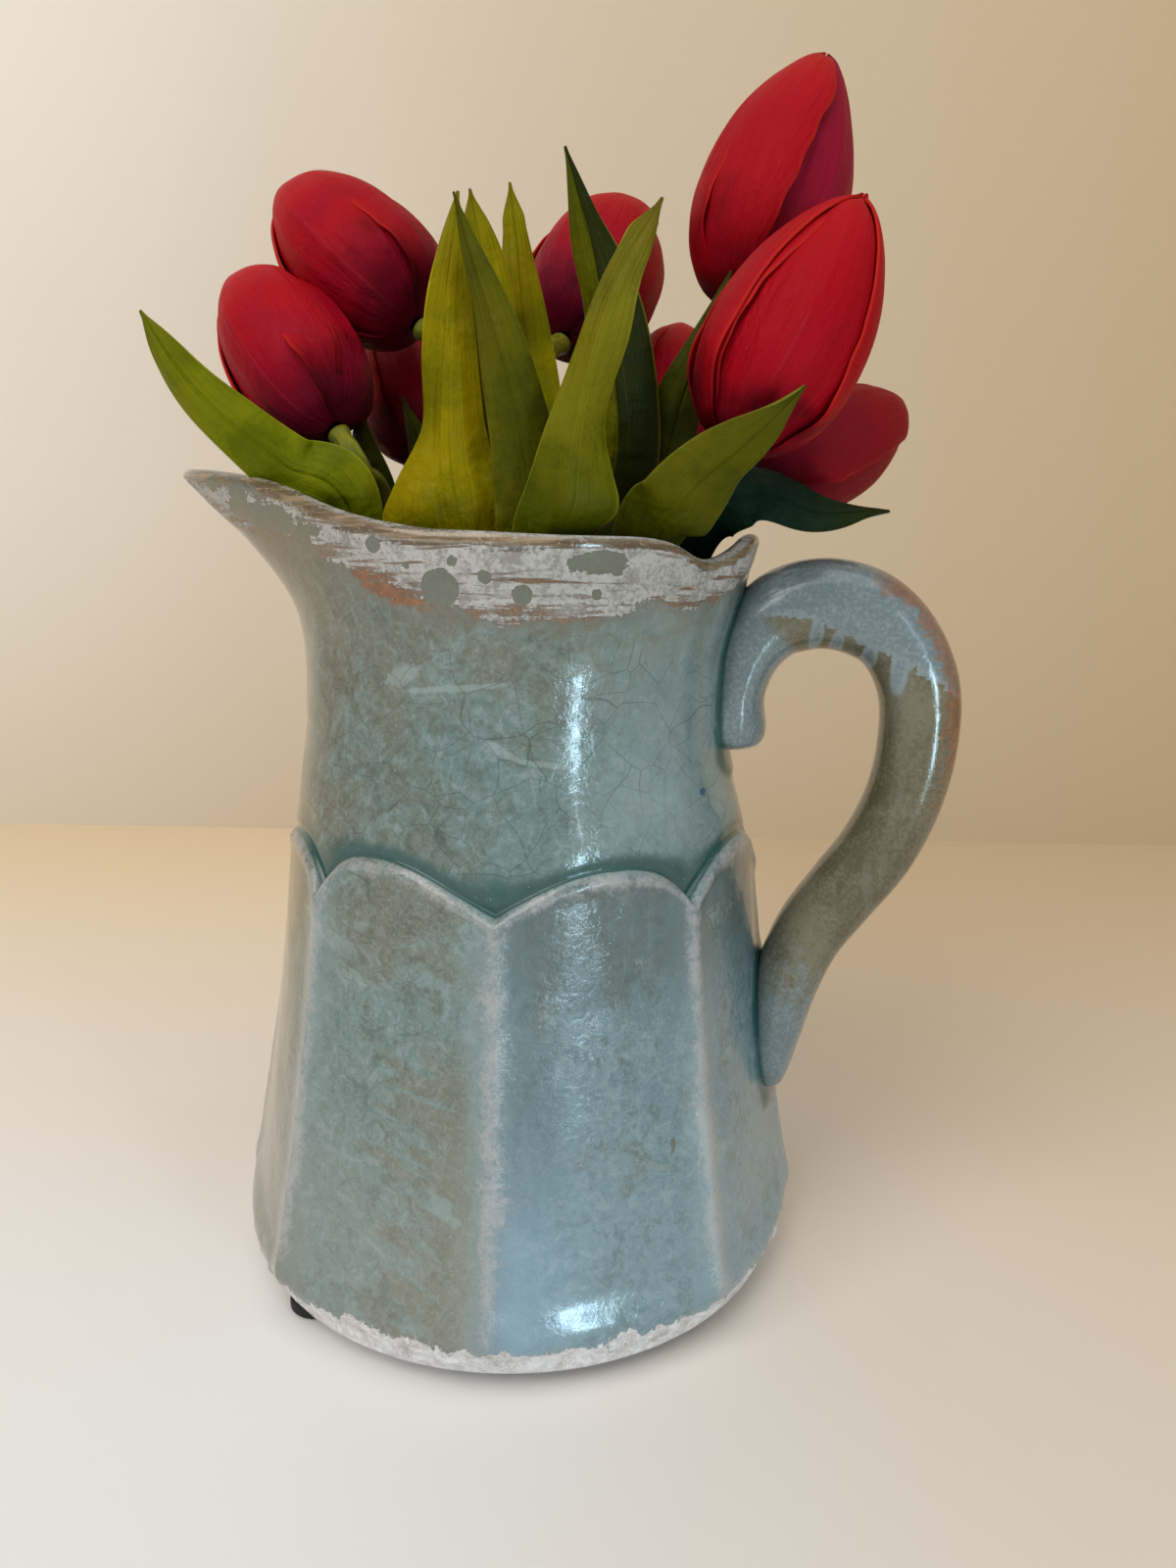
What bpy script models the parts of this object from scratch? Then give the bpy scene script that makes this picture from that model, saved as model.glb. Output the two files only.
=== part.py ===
"""Eight red tulips standing in a celadon jug. Metres, +Z up.

The handle points to +X and the spout to -X. Everything is modelled round the jug's axis, in the
millimetres below, and MM turns those into metres where a mesh or a curve is made. At the end it is all
moved sideways, so that the origin is on the table under the middle of the whole.
"""

import math

import bmesh
import bpy
from mathutils import Matrix, Vector

MM = 0.001
TOUCH = 0.3  # the gap that two pieces keep where they touch

# Jug: height of its underside over the table, its wall, and the heights that its outline turns at.
PAD_HEIGHT = 3.5
WALL = 5.5
FLOOR_TOP = 10.0
PANELS = 8
COLUMNS = PANELS * 6
RIDGE_ANGLE = math.radians(-2.0)
HANDLE_ANGLE = math.radians(-8.0)  # the handle was set a little round from a ridge, and the spout faces away from it
PANEL_FLATNESS_LOW = 0.75
PANEL_FLATNESS_TOP = 0.35
PANEL_START = 24.0
VALLEY_HEIGHT = 110.0
ARCH_RISE = 13.0
NECK_HEIGHT = 150.0
RIM_HEIGHT = 197.0
SPOUT_RISE = 17.0
SPOUT_REACH = 29.5
HANDLE_DIP = 4.5
LIP_THICKNESS = 5.0

# (height, radius over a ridge) of the panelled body, and (height, radius) of the neck above it.
BODY_OUTLINE = [(24, 76), (38, 74.5), (52, 72), (66, 69.7), (80, 67.6), (94, 65.8), (110, 64.2), (124, 63.2)]
NECK_OUTLINE = [(108, 61.8), (118, 61), (124, 60.2), (132, 58.6), (142, 56.6), (150, 55.4)]
# (share of the way from the neck to the rim, radius)
LIP_OUTLINE = [(0, 55.4), (0.25, 55.5), (0.5, 56.8), (0.7, 59), (0.85, 61.5), (1, 63.5)]
# (height, radius) of the turned-in foot, from the flat underside out to the body.
FOOT_OUTLINE = [(3.5, 30), (3.5, 62.5), (4.3, 66), (6.5, 70), (10.5, 73.5), (16.5, 75.6)]
CAVITY_OUTLINE = [(10, 40), (12, 56), (18, 63), (30, 65), (60, 60.5), (90, 57.5), (112, 55.2), (132, 52), (150, 49.9)]

# Handle: (distance from the axis, height, half thickness, half width) of the roll of clay, from the tab
# under the rim to the tab below.
HANDLE_ROLL = [
    (55.5, 146.5, 5.5, 11), (56, 151.5, 7.6, 13), (57, 160.5, 7.8, 13.5), (60, 171, 9, 13.5), (66.6, 179.8, 10, 12.5),
    (77, 183.3, 10.3, 11.5), (88.3, 181, 10.5, 11), (97.3, 173.2, 10.4, 10.8), (103.1, 161, 10.2, 10.6),
    (103.7, 146, 10, 10.4), (101, 131.5, 9.8, 10.3), (95.2, 118, 9.8, 10.2), (86.8, 105.8, 9.6, 10.3),
    (78.9, 93.8, 9.2, 11), (74.1, 81, 8.6, 12), (71.4, 67, 7.4, 11.5), (70, 56.5, 6, 9.5), (69.6, 49.5, 4, 6),
]
HANDLE_SIDES = 12

# Rubber pads under the jug: (distance from the axis, direction in degrees). The first one peeks out.
PADS = [(64, 219), (53, 309), (53, 39), (53, 129)]
PAD_RADIUS = 7.5

# Tulips.
STEM_RADIUS = 2.5
STEM_POINTS = 13
BLOOM_LENGTH = 58.0
PETAL_THICKNESS = 1.1
CUP_HEIGHTS = (0, 0.03, 0.09)  # rings of the cup below the petals' separate tips, as shares of its length
PETAL_RINGS = 4
BLOOM_OUTLINE = [(0, 0.05), (0.03, 0.125), (0.08, 0.19), (0.17, 0.252), (0.29, 0.292), (0.41, 0.302),
                 (0.55, 0.29), (0.68, 0.254), (0.8, 0.196), (0.9, 0.135), (0.97, 0.082), (1.0, 0.052)]
INNER_SHRINK = 0.87
INNER_LIFT = 2.2

# name: bloom base, bloom direction, size, turn in degrees, where the stem crosses the mouth, where it stands
TULIPS = {
    "tulip_1": ((-29, 7, 247), (-0.60, 0.12, 0.72), 0.96, 20, (-17, 4, 196), (-22, 6)),
    "tulip_2": ((-46, -20, 220), (-0.56, 0.32, 0.70), 0.91, 75, (-35, -14, 196), (-34, -14)),
    "tulip_3": ((-29, 23, 220), (-0.30, 0.55, 0.74), 0.84, 40, (-25, 25, 196), (-26, 26)),
    "tulip_4": ((8, 20, 246), (0.26, 0.52, 0.80), 0.90, 10, (3, 17, 196), (2, 26)),
    "tulip_5": ((38, 27, 219), (0.08, 0.50, 0.84), 0.84, 55, (28, 29, 196), (22, 31)),
    "tulip_6": ((52, -4, 253), (0.33, 0.12, 0.93), 1.11, 100, (33, 5, 198), (24, 6)),
    "tulip_7": ((51, -38, 219), (0.43, 0.03, 0.88), 1.05, 62, (36, -21, 197), (25, -26)),
    "tulip_8": ((62, 3, 214), (0.80, 0.36, 0.42), 0.92, 0, (44, 8, 200), (37, 8)),
}

# Leaves: the tulip whose stem carries it, the height of its root, the side of the stem it grows from in
# degrees, the points that its midrib runs through, its width, the directions that its outer face turns to
# near the root and at the tip, and how far that face looks up, in degrees.
LEAVES = {
    "leaf_01": ("tulip_2", 150, 225, [(-36, -30, 203), (-50, -33, 220), (-69, -36, 232), (-84, -36, 245)], 20, (250, 250), 15),
    "leaf_02": ("tulip_2", 158, 100, [(-38, 1, 196), (-41, 1, 214), (-43, 1, 230)], 14, (265, 250), 0),
    "leaf_03": ("tulip_1", 160, 120, [(-21, 13, 198), (-27, 13, 216), (-34, 14, 234)], 11, (270, 260), 0),
    "leaf_04": ("tulip_1", 140, 260, [(-14, -31, 190), (-17, -35, 214), (-16, -36, 245), (-13, -35, 271)], 25, (262, 285), 0),
    "leaf_05": ("tulip_1", 132, 310, [(4, -38, 186), (5, -45, 210), (-1, -47, 240), (-12, -45, 268)], 19, (285, 255), 0),
    "leaf_06": ("tulip_4", 150, 250, [(3, -15, 198), (2, -18, 225), (0, -19, 252), (-3, -18, 278)], 14, (270, 290), 0),
    "leaf_07": ("tulip_6", 146, 240, [(21, -14, 196), (24, -21, 222), (19, -26, 254), (10, -30, 282)], 16, (255, 225), 0),
    "leaf_08": ("tulip_7", 134, 215, [(10, -45, 186), (11, -53, 208), (19, -54, 242), (31, -51, 266)], 18, (275, 250), 0),
    "leaf_09": ("tulip_6", 150, 285, [(32, -12, 198), (36, -18, 222), (43, -20, 242), (49, -21, 259)], 14, (290, 250), 0),
    "leaf_10": ("tulip_7", 150, 285, [(30, -33, 193), (37, -44, 206), (49, -53, 217), (61, -60, 228)], 18, (295, 310), 15),
    "leaf_11": ("tulip_8", 164, 300, [(45, -6, 200), (58, -10, 208), (73, -15, 204), (90, -21, 205)], 16, (275, 275), 20),
    "leaf_12": ("tulip_7", 146, 190, [(24, -31, 190), (27, -31, 200), (34, -29, 211)], 12, (290, 300), 20),
    "leaf_13": ("tulip_1", 156, 350, [(-7, -22, 196), (-8, -28, 224), (-8, -30, 250), (-11, -30, 273)], 13, (270, 290), 0),
    "leaf_14": ("tulip_3", 145, 80, [(-18, 40, 192), (-22, 48, 214), (-25, 55, 236), (-24, 61, 256)], 22, (95, 80), 0),
    "leaf_15": ("tulip_4", 140, 75, [(6, 42, 190), (6, 51, 214), (2, 57, 240), (-4, 62, 264)], 23, (90, 110), 0),
    "leaf_16": ("tulip_5", 145, 20, [(39, 33, 192), (48, 42, 210), (56, 49, 230), (60, 56, 250)], 20, (50, 40), 0),
    "leaf_17": ("tulip_3", 150, 170, [(-41, 19, 200), (-53, 24, 216), (-66, 27, 224), (-81, 28, 231)], 17, (120, 110), 25),
}
LEAF_THICKNESS = 1.0
LEAF_SEGMENTS = (4, 9)
LEAF_ROOT_WIDTH = 3.4
LEAF_FOLD = 0.30  # how deep the blade is channelled, as a share of its half width


def clear_scene():
    for obj in list(bpy.data.objects):
        bpy.data.objects.remove(obj)


def material(name, colour, roughness):
    """One Principled material for each kind of piece."""
    made = bpy.data.materials.get(name) or bpy.data.materials.new(name)
    made.use_nodes = True
    shader = made.node_tree.nodes["Principled BSDF"]
    shader.inputs["Base Color"].default_value = (*colour, 1)
    shader.inputs["Roughness"].default_value = roughness
    shader.inputs["Metallic"].default_value = 0
    return made


def eased(share):
    share = min(1.0, max(0.0, share))
    return share * share * (3 - 2 * share)


def along(outline, at):
    """The second value of an outline of (position, value) pairs, with straight stretches between them."""
    for (a, low), (b, high) in zip(outline, outline[1:]):
        if at <= b:
            return low + (high - low) * (at - a) / (b - a)
    return outline[-1][1]


def through(points, share):
    """A point of the smooth curve (Catmull-Rom) through the points, share from 0 to 1."""
    spans = len(points) - 1
    span = min(int(share * spans), spans - 1)
    t = share * spans - span
    before = points[span - 1] if span else points[0] * 2 - points[1]
    start, end = points[span], points[span + 1]
    after = points[span + 2] if span + 2 <= spans else points[-1] * 2 - points[-2]
    return 0.5 * (
        2 * start
        + (end - before) * t
        + (2 * before - 5 * start + 4 * end - after) * t * t
        + (3 * start - 3 * end + after - before) * t**3
    )


def add_mesh(name, points, faces, look):
    """An object from points in millimetres. Its faces are turned outwards and shaded smooth."""
    mesh = bpy.data.meshes.new(name)
    mesh.from_pydata([Vector(p) * MM for p in points], [], faces)
    work = bmesh.new()
    work.from_mesh(mesh)
    bmesh.ops.recalc_face_normals(work, faces=work.faces)
    work.to_mesh(mesh)
    work.free()
    mesh.shade_smooth()
    mesh.set_sharp_from_angle(angle=math.radians(40))
    mesh.materials.append(look)
    obj = bpy.data.objects.new(name, mesh)
    bpy.context.scene.collection.objects.link(obj)
    return obj


def skin(rings, closed_start=True, closed_end=True):
    """Quads between rings of equally many points, with a point in the middle of each closed end."""
    columns = len(rings[0])
    points = [p for ring in rings for p in ring]
    faces = []
    for row in range(len(rings) - 1):
        for i in range(columns):
            j = (i + 1) % columns
            faces.append((row * columns + i, row * columns + j, (row + 1) * columns + j, (row + 1) * columns + i))
    for closed, row in ((closed_start, 0), (closed_end, len(rings) - 1)):
        if closed:
            ring = rings[row]
            points.append(sum(ring, Vector()) / columns)
            middle = len(points) - 1
            faces += [(row * columns + i, row * columns + (i + 1) % columns, middle) for i in range(columns)]
    return points, faces


def helper(obj):
    """A cutter or a piece to be joined: it shapes another object and isn't one itself."""
    obj.hide_render = True
    obj.display_type = "WIRE"
    return obj


def boolean(obj, operation, other):
    modifier = obj.modifiers.new(operation.lower(), "BOOLEAN")
    modifier.operation = operation
    modifier.object = other


# Jug


def turned(angle, radius, height):
    return Vector((radius * math.cos(angle), radius * math.sin(angle), height))


def panel_place(angle):
    """Where an angle lies across its panel: -1 and 1 on the ridges, 0 in the middle."""
    width = 2 * math.pi / PANELS
    return 2 * (((angle - RIDGE_ANGLE) / width) % 1) - 1


def panel_radius(angle, height):
    """The body's radius: nearly flat panels low down that round off towards their arched tops."""
    half = math.pi / PANELS
    chord = math.cos(half) / math.cos(panel_place(angle) * half)
    up = (height - PANEL_START) / (VALLEY_HEIGHT - PANEL_START)
    flatness = PANEL_FLATNESS_LOW + (PANEL_FLATNESS_TOP - PANEL_FLATNESS_LOW) * eased(up)
    return along(BODY_OUTLINE, height) * (1 - flatness * (1 - chord))


def arch_height(angle):
    return VALLEY_HEIGHT + ARCH_RISE * (1 - abs(panel_place(angle)) ** 2.2)


def from_spout(angle):
    """Degrees round the jug from the middle of the spout, 0 to 180."""
    return abs(math.degrees(math.remainder(angle - HANDLE_ANGLE - math.pi, 2 * math.pi)))


def rim_height(angle):
    away = from_spout(angle)
    rise = SPOUT_RISE * eased((84 - away) / 84) ** 0.8
    pinch = math.exp(-(((away - 149) / 13) ** 2))
    return RIM_HEIGHT + rise - HANDLE_DIP * pinch + 1.5 * eased((away - 156) / 20)


def rim_radius(angle):
    """Extra radius at the rim: the spout, the pinch beside the handle and the seat of the handle."""
    away = from_spout(angle)
    spout = SPOUT_REACH * max(0.0, math.cos(math.radians(away))) ** 10
    pinch = math.exp(-(((away - 149) / 14) ** 2))
    return spout - 4.5 * pinch - 2.0 * eased((away - 156) / 20)


def lip_point(angle, share, inset=0.0):
    """A point of the flared lip, share from 0 on the neck to 1 at the rim."""
    height = NECK_HEIGHT + (rim_height(angle) - NECK_HEIGHT) * share
    radius = along(LIP_OUTLINE, share) + rim_radius(angle) * share**4
    return turned(angle, radius - inset, height)


def jug_rings():
    """Rings from the underside up the outside, over the lip and down the inside to the floor."""
    angles = [RIDGE_ANGLE + 2 * math.pi * i / COLUMNS for i in range(COLUMNS)]
    ridge_to_foot = along(BODY_OUTLINE, PANEL_START)
    rings = []
    for height, radius in FOOT_OUTLINE:
        flat = (radius / ridge_to_foot) ** 12
        ring = []
        for a in angles:
            panel = panel_radius(a, PANEL_START) / ridge_to_foot
            ring.append(turned(a, radius * (1 + (panel - 1) * flat * 0.8), height))
        rings.append(ring)
    for step in range(5):
        share = step / 5
        rings.append([turned(a, panel_radius(a, h), h) for a in angles
                      for h in [PANEL_START + (arch_height(a) - 3 - PANEL_START) * share]])
    for drop, inset in ((3.0, 0.0), (1.2, 0.3), (0.2, 1.3)):
        rings.append([turned(a, panel_radius(a, arch_height(a) - drop) - inset, arch_height(a) - drop) for a in angles])
    for rise, share in ((0.6, 0), (0, 0.25), (0, 0.55), (0, 1)):
        rings.append([turned(a, along(NECK_OUTLINE, h), h) for a in angles
                      for h in [arch_height(a) + rise + (NECK_HEIGHT - arch_height(a)) * share]])
    for share in (0.25, 0.48, 0.68, 0.84, 0.96):
        rings.append([lip_point(a, share) for a in angles])
    for share, inset in ((1.0, 1.2), (1.005, LIP_THICKNESS / 2), (0.995, LIP_THICKNESS - 1), (0.95, LIP_THICKNESS + 0.2)):
        rings.append([lip_point(a, share, inset) for a in angles])
    for share in (0.75, 0.5, 0.25, 0):
        rings.append([lip_point(a, share, WALL) for a in angles])
    for height, radius in reversed(CAVITY_OUTLINE[:-1]):
        rings.append([turned(a, radius, height) for a in angles])
    return rings


def handle_rings():
    """The roll of clay, as rings square to its path in the upright plane through the jug's axis."""
    outwards = turned(HANDLE_ANGLE, 1, 0)
    sideways = turned(HANDLE_ANGLE + math.pi / 2, 1, 0)
    path = [outwards * distance + Vector((0, 0, height)) for distance, height, _, _ in HANDLE_ROLL]
    rings = []
    for i, (centre, (_, _, thick, wide)) in enumerate(zip(path, HANDLE_ROLL)):
        direction = (path[min(i + 1, len(path) - 1)] - path[max(i - 1, 0)]).normalized()
        across = direction.cross(sideways)
        ring = []
        for step in range(HANDLE_SIDES):
            turn = 2 * math.pi * step / HANDLE_SIDES
            ring.append(centre + across * thick * math.cos(turn) + sideways * wide * math.sin(turn))
        rings.append(ring)
    return rings


def build_jug(glaze):
    jug = add_mesh("jug", *skin(jug_rings()), glaze)
    handle = helper(add_mesh("handle_roll", *skin(handle_rings()), glaze))
    middle_of_wall = [(height, radius + WALL / 2) for height, radius in CAVITY_OUTLINE[4:]]
    angles = [2 * math.pi * i / COLUMNS for i in range(COLUMNS)]
    core_rings = [[turned(a, r, h) for a in angles] for h, r in middle_of_wall]
    core_rings += [[lip_point(a, share, WALL / 2) for a in angles] for share in (0.4, 0.8, 1.2)]
    core = helper(add_mesh("inside_of_wall", *skin(core_rings), glaze))
    boolean(handle, "DIFFERENCE", core)
    boolean(jug, "UNION", handle)


def build_pads(rubber):
    for number, (distance, direction) in enumerate(PADS, 1):
        angle = math.radians(direction)
        bpy.ops.mesh.primitive_cylinder_add(
            vertices=20,
            radius=PAD_RADIUS * MM,
            depth=(PAD_HEIGHT - TOUCH) * MM,
            location=turned(angle, distance, (PAD_HEIGHT - TOUCH) / 2) * MM,
        )
        pad = bpy.context.object
        pad.name = f"rubber_pad_{number}"
        pad.data.materials.append(rubber)
        bevel = pad.modifiers.new("worn edge", "BEVEL")
        bevel.width = 0.8 * MM
        bevel.segments = 2
        bevel.limit_method = "ANGLE"


# Tulips


def stem_route(name):
    """The stem's centre line, from the jug's floor to the underside of the bloom."""
    base, direction, size, _, mouth, foot = TULIPS[name]
    base, mouth = Vector(base), Vector(mouth)
    axis = Vector(direction).normalized()
    foot = Vector((*foot, FLOOR_TOP + 2 * TOUCH))
    return [foot, foot.lerp(mouth, 0.5), mouth, base - axis * 14 * size, base - axis * 3 * TOUCH]


def build_stem(name, green):
    route = stem_route(name)
    curve = bpy.data.curves.new(name + "_stem", "CURVE")
    curve.dimensions = "3D"
    curve.bevel_depth = STEM_RADIUS * MM
    curve.bevel_resolution = 1
    curve.use_fill_caps = True
    spline = curve.splines.new("POLY")
    spline.points.add(STEM_POINTS - 1)
    for i, point in enumerate(spline.points):
        share = i / (STEM_POINTS - 1)
        point.co = (*(through(route, share) * MM), 1)
        point.radius = 1 + 0.15 * eased((share - 0.93) / 0.07)
    curve.materials.append(green)
    obj = bpy.data.objects.new(name + "_stem", curve)
    bpy.context.scene.collection.objects.link(obj)


def whorl_mesh(turn, tip, columns):
    """Three petals grown together at the base, in a bloom that is 1 long and stands on the origin."""
    angles = [2 * math.pi * i / columns for i in range(columns)]
    rings = [[turned(a, along(BLOOM_OUTLINE, height), height) for a in angles] for height in CUP_HEIGHTS]
    for row in range(1, PETAL_RINGS + 1):
        ring = []
        for angle in angles:
            between = abs(math.sin(1.5 * (angle - turn)))
            top = tip * (1 - 0.3 * between**2.6)
            height = CUP_HEIGHTS[-1] + (top - CUP_HEIGHTS[-1]) * row / PETAL_RINGS
            ring.append(turned(angle, along(BLOOM_OUTLINE, height), height))
        rings.append(ring)
    return skin(rings, closed_end=False)


def build_whorl(name, kind, red, tip, columns, shrink, lift, turn):
    base, direction, size, bloom_turn, _, _ = TULIPS[name]
    points, faces = whorl_mesh(math.radians(bloom_turn + turn), tip, columns)
    length = BLOOM_LENGTH * size
    points = [p * length * shrink + Vector((0, 0, lift)) for p in points]
    whorl = add_mesh(f"{name}_{kind}_petals", points, faces, red)
    upright_to_bloom = Vector(direction).to_track_quat("Z", "Y").to_matrix().to_4x4()
    whorl.matrix_world = Matrix.Translation(Vector(base) * MM) @ upright_to_bloom
    wall = whorl.modifiers.new("petal", "SOLIDIFY")
    wall.thickness = PETAL_THICKNESS * MM
    wall.offset = -1
    return whorl


def leaf_midrib(name):
    """The midrib's points: it leaves the stem's side along the stem, then runs through its own points."""
    tulip, root_height, side, points, _, _, _ = LEAVES[name]
    route = stem_route(tulip)
    shares = [i / 200 for i in range(201)]
    root_share = min(shares, key=lambda s: abs(through(route, s).z - root_height))
    upward = (through(route, root_share + 0.01) - through(route, root_share)).normalized()
    out = turned(math.radians(side), 1, 0)
    out = (out - upward * out.dot(upward)).normalized()
    root = through(route, root_share) + out * (STEM_RADIUS + TOUCH + LEAF_THICKNESS / 2)
    return [root, *(Vector(p) for p in points)]


def leaf_width(share, width):
    """Narrow where it clasps the stem, widest below the middle, then drawn out to a point."""
    swell = math.sin(math.pi * min(1.0, 0.08 + 0.92 * share) ** 0.85)
    return LEAF_ROOT_WIDTH * (1 - share) ** 3 + width * max(0.03, swell) * eased(share / 0.35)


def build_leaf(name, green):
    """A channelled blade: a grid laid along the midrib and given its thickness."""
    _, _, side, _, width, (face_low, face_high), look_up = LEAVES[name]
    midrib = leaf_midrib(name)
    across, lengthwise = LEAF_SEGMENTS
    work = bmesh.new()
    bmesh.ops.create_grid(work, x_segments=across, y_segments=lengthwise, size=1)
    for vertex in work.verts:
        share = (vertex.co.y + 1) / 2
        place = vertex.co.x
        centre = through(midrib, share)
        ahead = through(midrib, min(1.0, share + 0.02)) - through(midrib, max(0.0, share - 0.02))
        ahead.normalize()
        facing_angle = side + math.remainder(face_low - side, 360) * eased(share / 0.3)
        facing_angle += math.remainder(face_high - face_low, 360) * eased((share - 0.3) / 0.7)
        lift = math.radians(look_up) * eased((share - 0.2) / 0.4)
        facing = turned(math.radians(facing_angle), math.cos(lift), math.sin(lift))
        facing = (facing - ahead * facing.dot(ahead)).normalized()
        sideways = ahead.cross(facing)
        half = leaf_width(share, width) / 2
        channel = -LEAF_FOLD * half * (1 - abs(place)) * eased(share / 0.4)
        vertex.co = (centre + sideways * half * place + facing * -channel) * MM
    mesh = bpy.data.meshes.new(name)
    work.to_mesh(mesh)
    work.free()
    mesh.shade_smooth()
    mesh.materials.append(green)
    leaf = bpy.data.objects.new(name, mesh)
    bpy.context.scene.collection.objects.link(leaf)
    blade = leaf.modifiers.new("blade", "SOLIDIFY")
    blade.thickness = LEAF_THICKNESS * MM
    blade.offset = 0
    return leaf


def stand_on_origin():
    """Moves everything so that the origin is under the middle of the whole, on the table."""
    bpy.context.view_layer.update()
    graph = bpy.context.evaluated_depsgraph_get()
    places = []
    for obj in bpy.data.objects:
        if not obj.hide_render:
            evaluated = obj.evaluated_get(graph)
            places += [evaluated.matrix_world @ v.co for v in evaluated.to_mesh().vertices]
            evaluated.to_mesh_clear()
    middle = [(min(p[i] for p in places) + max(p[i] for p in places)) / 2 for i in (0, 1)]
    for obj in bpy.data.objects:
        obj.location -= Vector((*middle, 0))


def main():
    clear_scene()
    glaze = material("celadon glaze", (0.33, 0.42, 0.38), 0.18)
    rubber = material("black rubber", (0.02, 0.02, 0.02), 0.6)
    red = material("tulip red", (0.45, 0.015, 0.03), 0.5)
    stem_green = material("stem green", (0.16, 0.22, 0.04), 0.5)
    leaf_green = material("leaf green", (0.17, 0.22, 0.02), 0.42)
    build_jug(glaze)
    build_pads(rubber)
    for name in TULIPS:
        build_stem(name, stem_green)
        build_whorl(name, "outer", red, 1.0, 15, 1.0, 0.0, 0)
        build_whorl(name, "inner", red, 0.97, 12, INNER_SHRINK, INNER_LIFT, 60)
    for name in LEAVES:
        build_leaf(name, leaf_green)
    stand_on_origin()


main()
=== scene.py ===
"""Eight red tulips standing in a celadon jug, finished. Metres, +Z up, built round the frame.

Shapes are worked out in millimetres round the jug's axis, and put_down() sets them in their place.
"""

import math
import random
from functools import reduce
from types import SimpleNamespace

import bpy
import numpy as np
from mathutils import Matrix, Vector, noise


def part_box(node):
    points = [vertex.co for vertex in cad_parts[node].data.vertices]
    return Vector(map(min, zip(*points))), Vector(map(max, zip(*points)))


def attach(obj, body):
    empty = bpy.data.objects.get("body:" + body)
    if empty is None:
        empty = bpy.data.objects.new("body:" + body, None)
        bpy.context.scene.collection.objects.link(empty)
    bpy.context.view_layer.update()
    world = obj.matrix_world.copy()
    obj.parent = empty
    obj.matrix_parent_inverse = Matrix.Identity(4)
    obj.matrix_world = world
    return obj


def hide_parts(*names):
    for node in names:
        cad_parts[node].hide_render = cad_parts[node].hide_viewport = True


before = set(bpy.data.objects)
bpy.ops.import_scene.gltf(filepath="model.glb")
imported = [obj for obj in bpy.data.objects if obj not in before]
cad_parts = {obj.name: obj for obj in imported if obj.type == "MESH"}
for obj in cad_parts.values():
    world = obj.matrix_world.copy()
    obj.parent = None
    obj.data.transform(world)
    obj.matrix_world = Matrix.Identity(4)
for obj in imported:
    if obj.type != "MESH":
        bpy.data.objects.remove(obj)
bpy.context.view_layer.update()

MM = 0.001
PAD_BOXES = [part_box("rubber_pad_2"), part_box("rubber_pad_4")]
AXIS = sum((low + high for low, high in PAD_BOXES), Vector()) / 4
AXIS.z = 0

# Jug
PANELS = 8
COLUMNS = PANELS * 36
RIDGE_TO_MIDDLE = 0.39
RIDGE_ANGLE = math.radians(-2.0)
HANDLE_ANGLE = math.radians(-8.0)
PANEL_FLATNESS_LOW = 0.78
PANEL_FLATNESS_TOP = 0.4
VALLEY_HEIGHT = 113.6
ARCH_RISE = 10.0
GROOVE_RISE = 7.5
NECK_HEIGHT = 150.0
RIM_HEIGHT = 197.0
SPOUT_RISE = 17.0
SPOUT_REACH = 30.5
WALL = 5.5
LIP_THICKNESS = 5.0
LIP_SHARE = 0.965
UNDERSIDE_HEIGHT = 3.5
FOOT_HEIGHT = 13
# Degrees round the jug from the middle of the spout.
SPOUT_SIDE = 84
RIM_DIP = 149
HANDLE_SIDE = 156
RIM_DIP_DEPTH = 4.5
HANDLE_ROOT_DEPTH = 2.6
# Outlines as (height, radius). The spout's and the lip's are read at the share of the way up the lip.
FOOT_OUTLINE = [(3.5, 62.0), (3.6, 67.8), (4.0, 70.2), (5.2, 71.8), (8, 73.2), (10.5, 74.6), (13, 76.8)]
BODY_OUTLINE = [
    (13, 76.8), (16, 78.2), (20, 77.9), (26, 76.4), (38, 74.3), (52, 72), (66, 69.7), (80, 67.6),
    (94, 65.8), (110, 64.2), (126, 63),
]
NECK_OUTLINE = [(106, 61.9), (118, 61), (124, 60.2), (132, 58.6), (142, 56.6), (150, 55.4)]
SPOUT_OUTLINE = [
    (0, 0), (0.3, 0.02), (0.45, 0.085), (0.55, 0.19), (0.65, 0.35), (0.75, 0.53), (0.82, 0.67),
    (0.9, 0.82), (1, 1),
]
LIP_OUTLINE = [(0, 55.4), (0.2, 55.1), (0.42, 55.5), (0.7, 58.7), (0.85, 61.4), (1, 63.5)]
CAVITY_OUTLINE = [
    (10, 40), (12, 56), (18, 63), (30, 65), (60, 60.5), (90, 57.5), (112, 55.2), (132, 52), (150, 49.9),
]
# The roll of the handle: how far out, how high, and half its thickness and half its width.
HANDLE_ROLL = [
    (55.5, 143.8, 5.0, 11), (56, 148.8, 8.9, 13), (57, 159.5, 7.5, 13.5), (60, 170.5, 9, 13.5),
    (66.6, 178.8, 11, 12.8), (77, 182.1, 11.5, 12), (88.3, 180.1, 11.3, 11.3), (97.3, 173.2, 10.4, 10.8),
    (103.1, 161, 10.2, 10.6), (103.7, 146, 10, 10.4), (101, 131.5, 9.8, 10.3), (95.2, 118, 9.8, 10.2),
    (86.8, 105.8, 9.6, 10.3), (78.9, 93.8, 9.2, 11), (74.1, 81, 8.6, 12), (71.4, 67, 7.4, 11.5),
    (70, 56.5, 6, 9.5), (69.6, 49.5, 4, 6),
]

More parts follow.
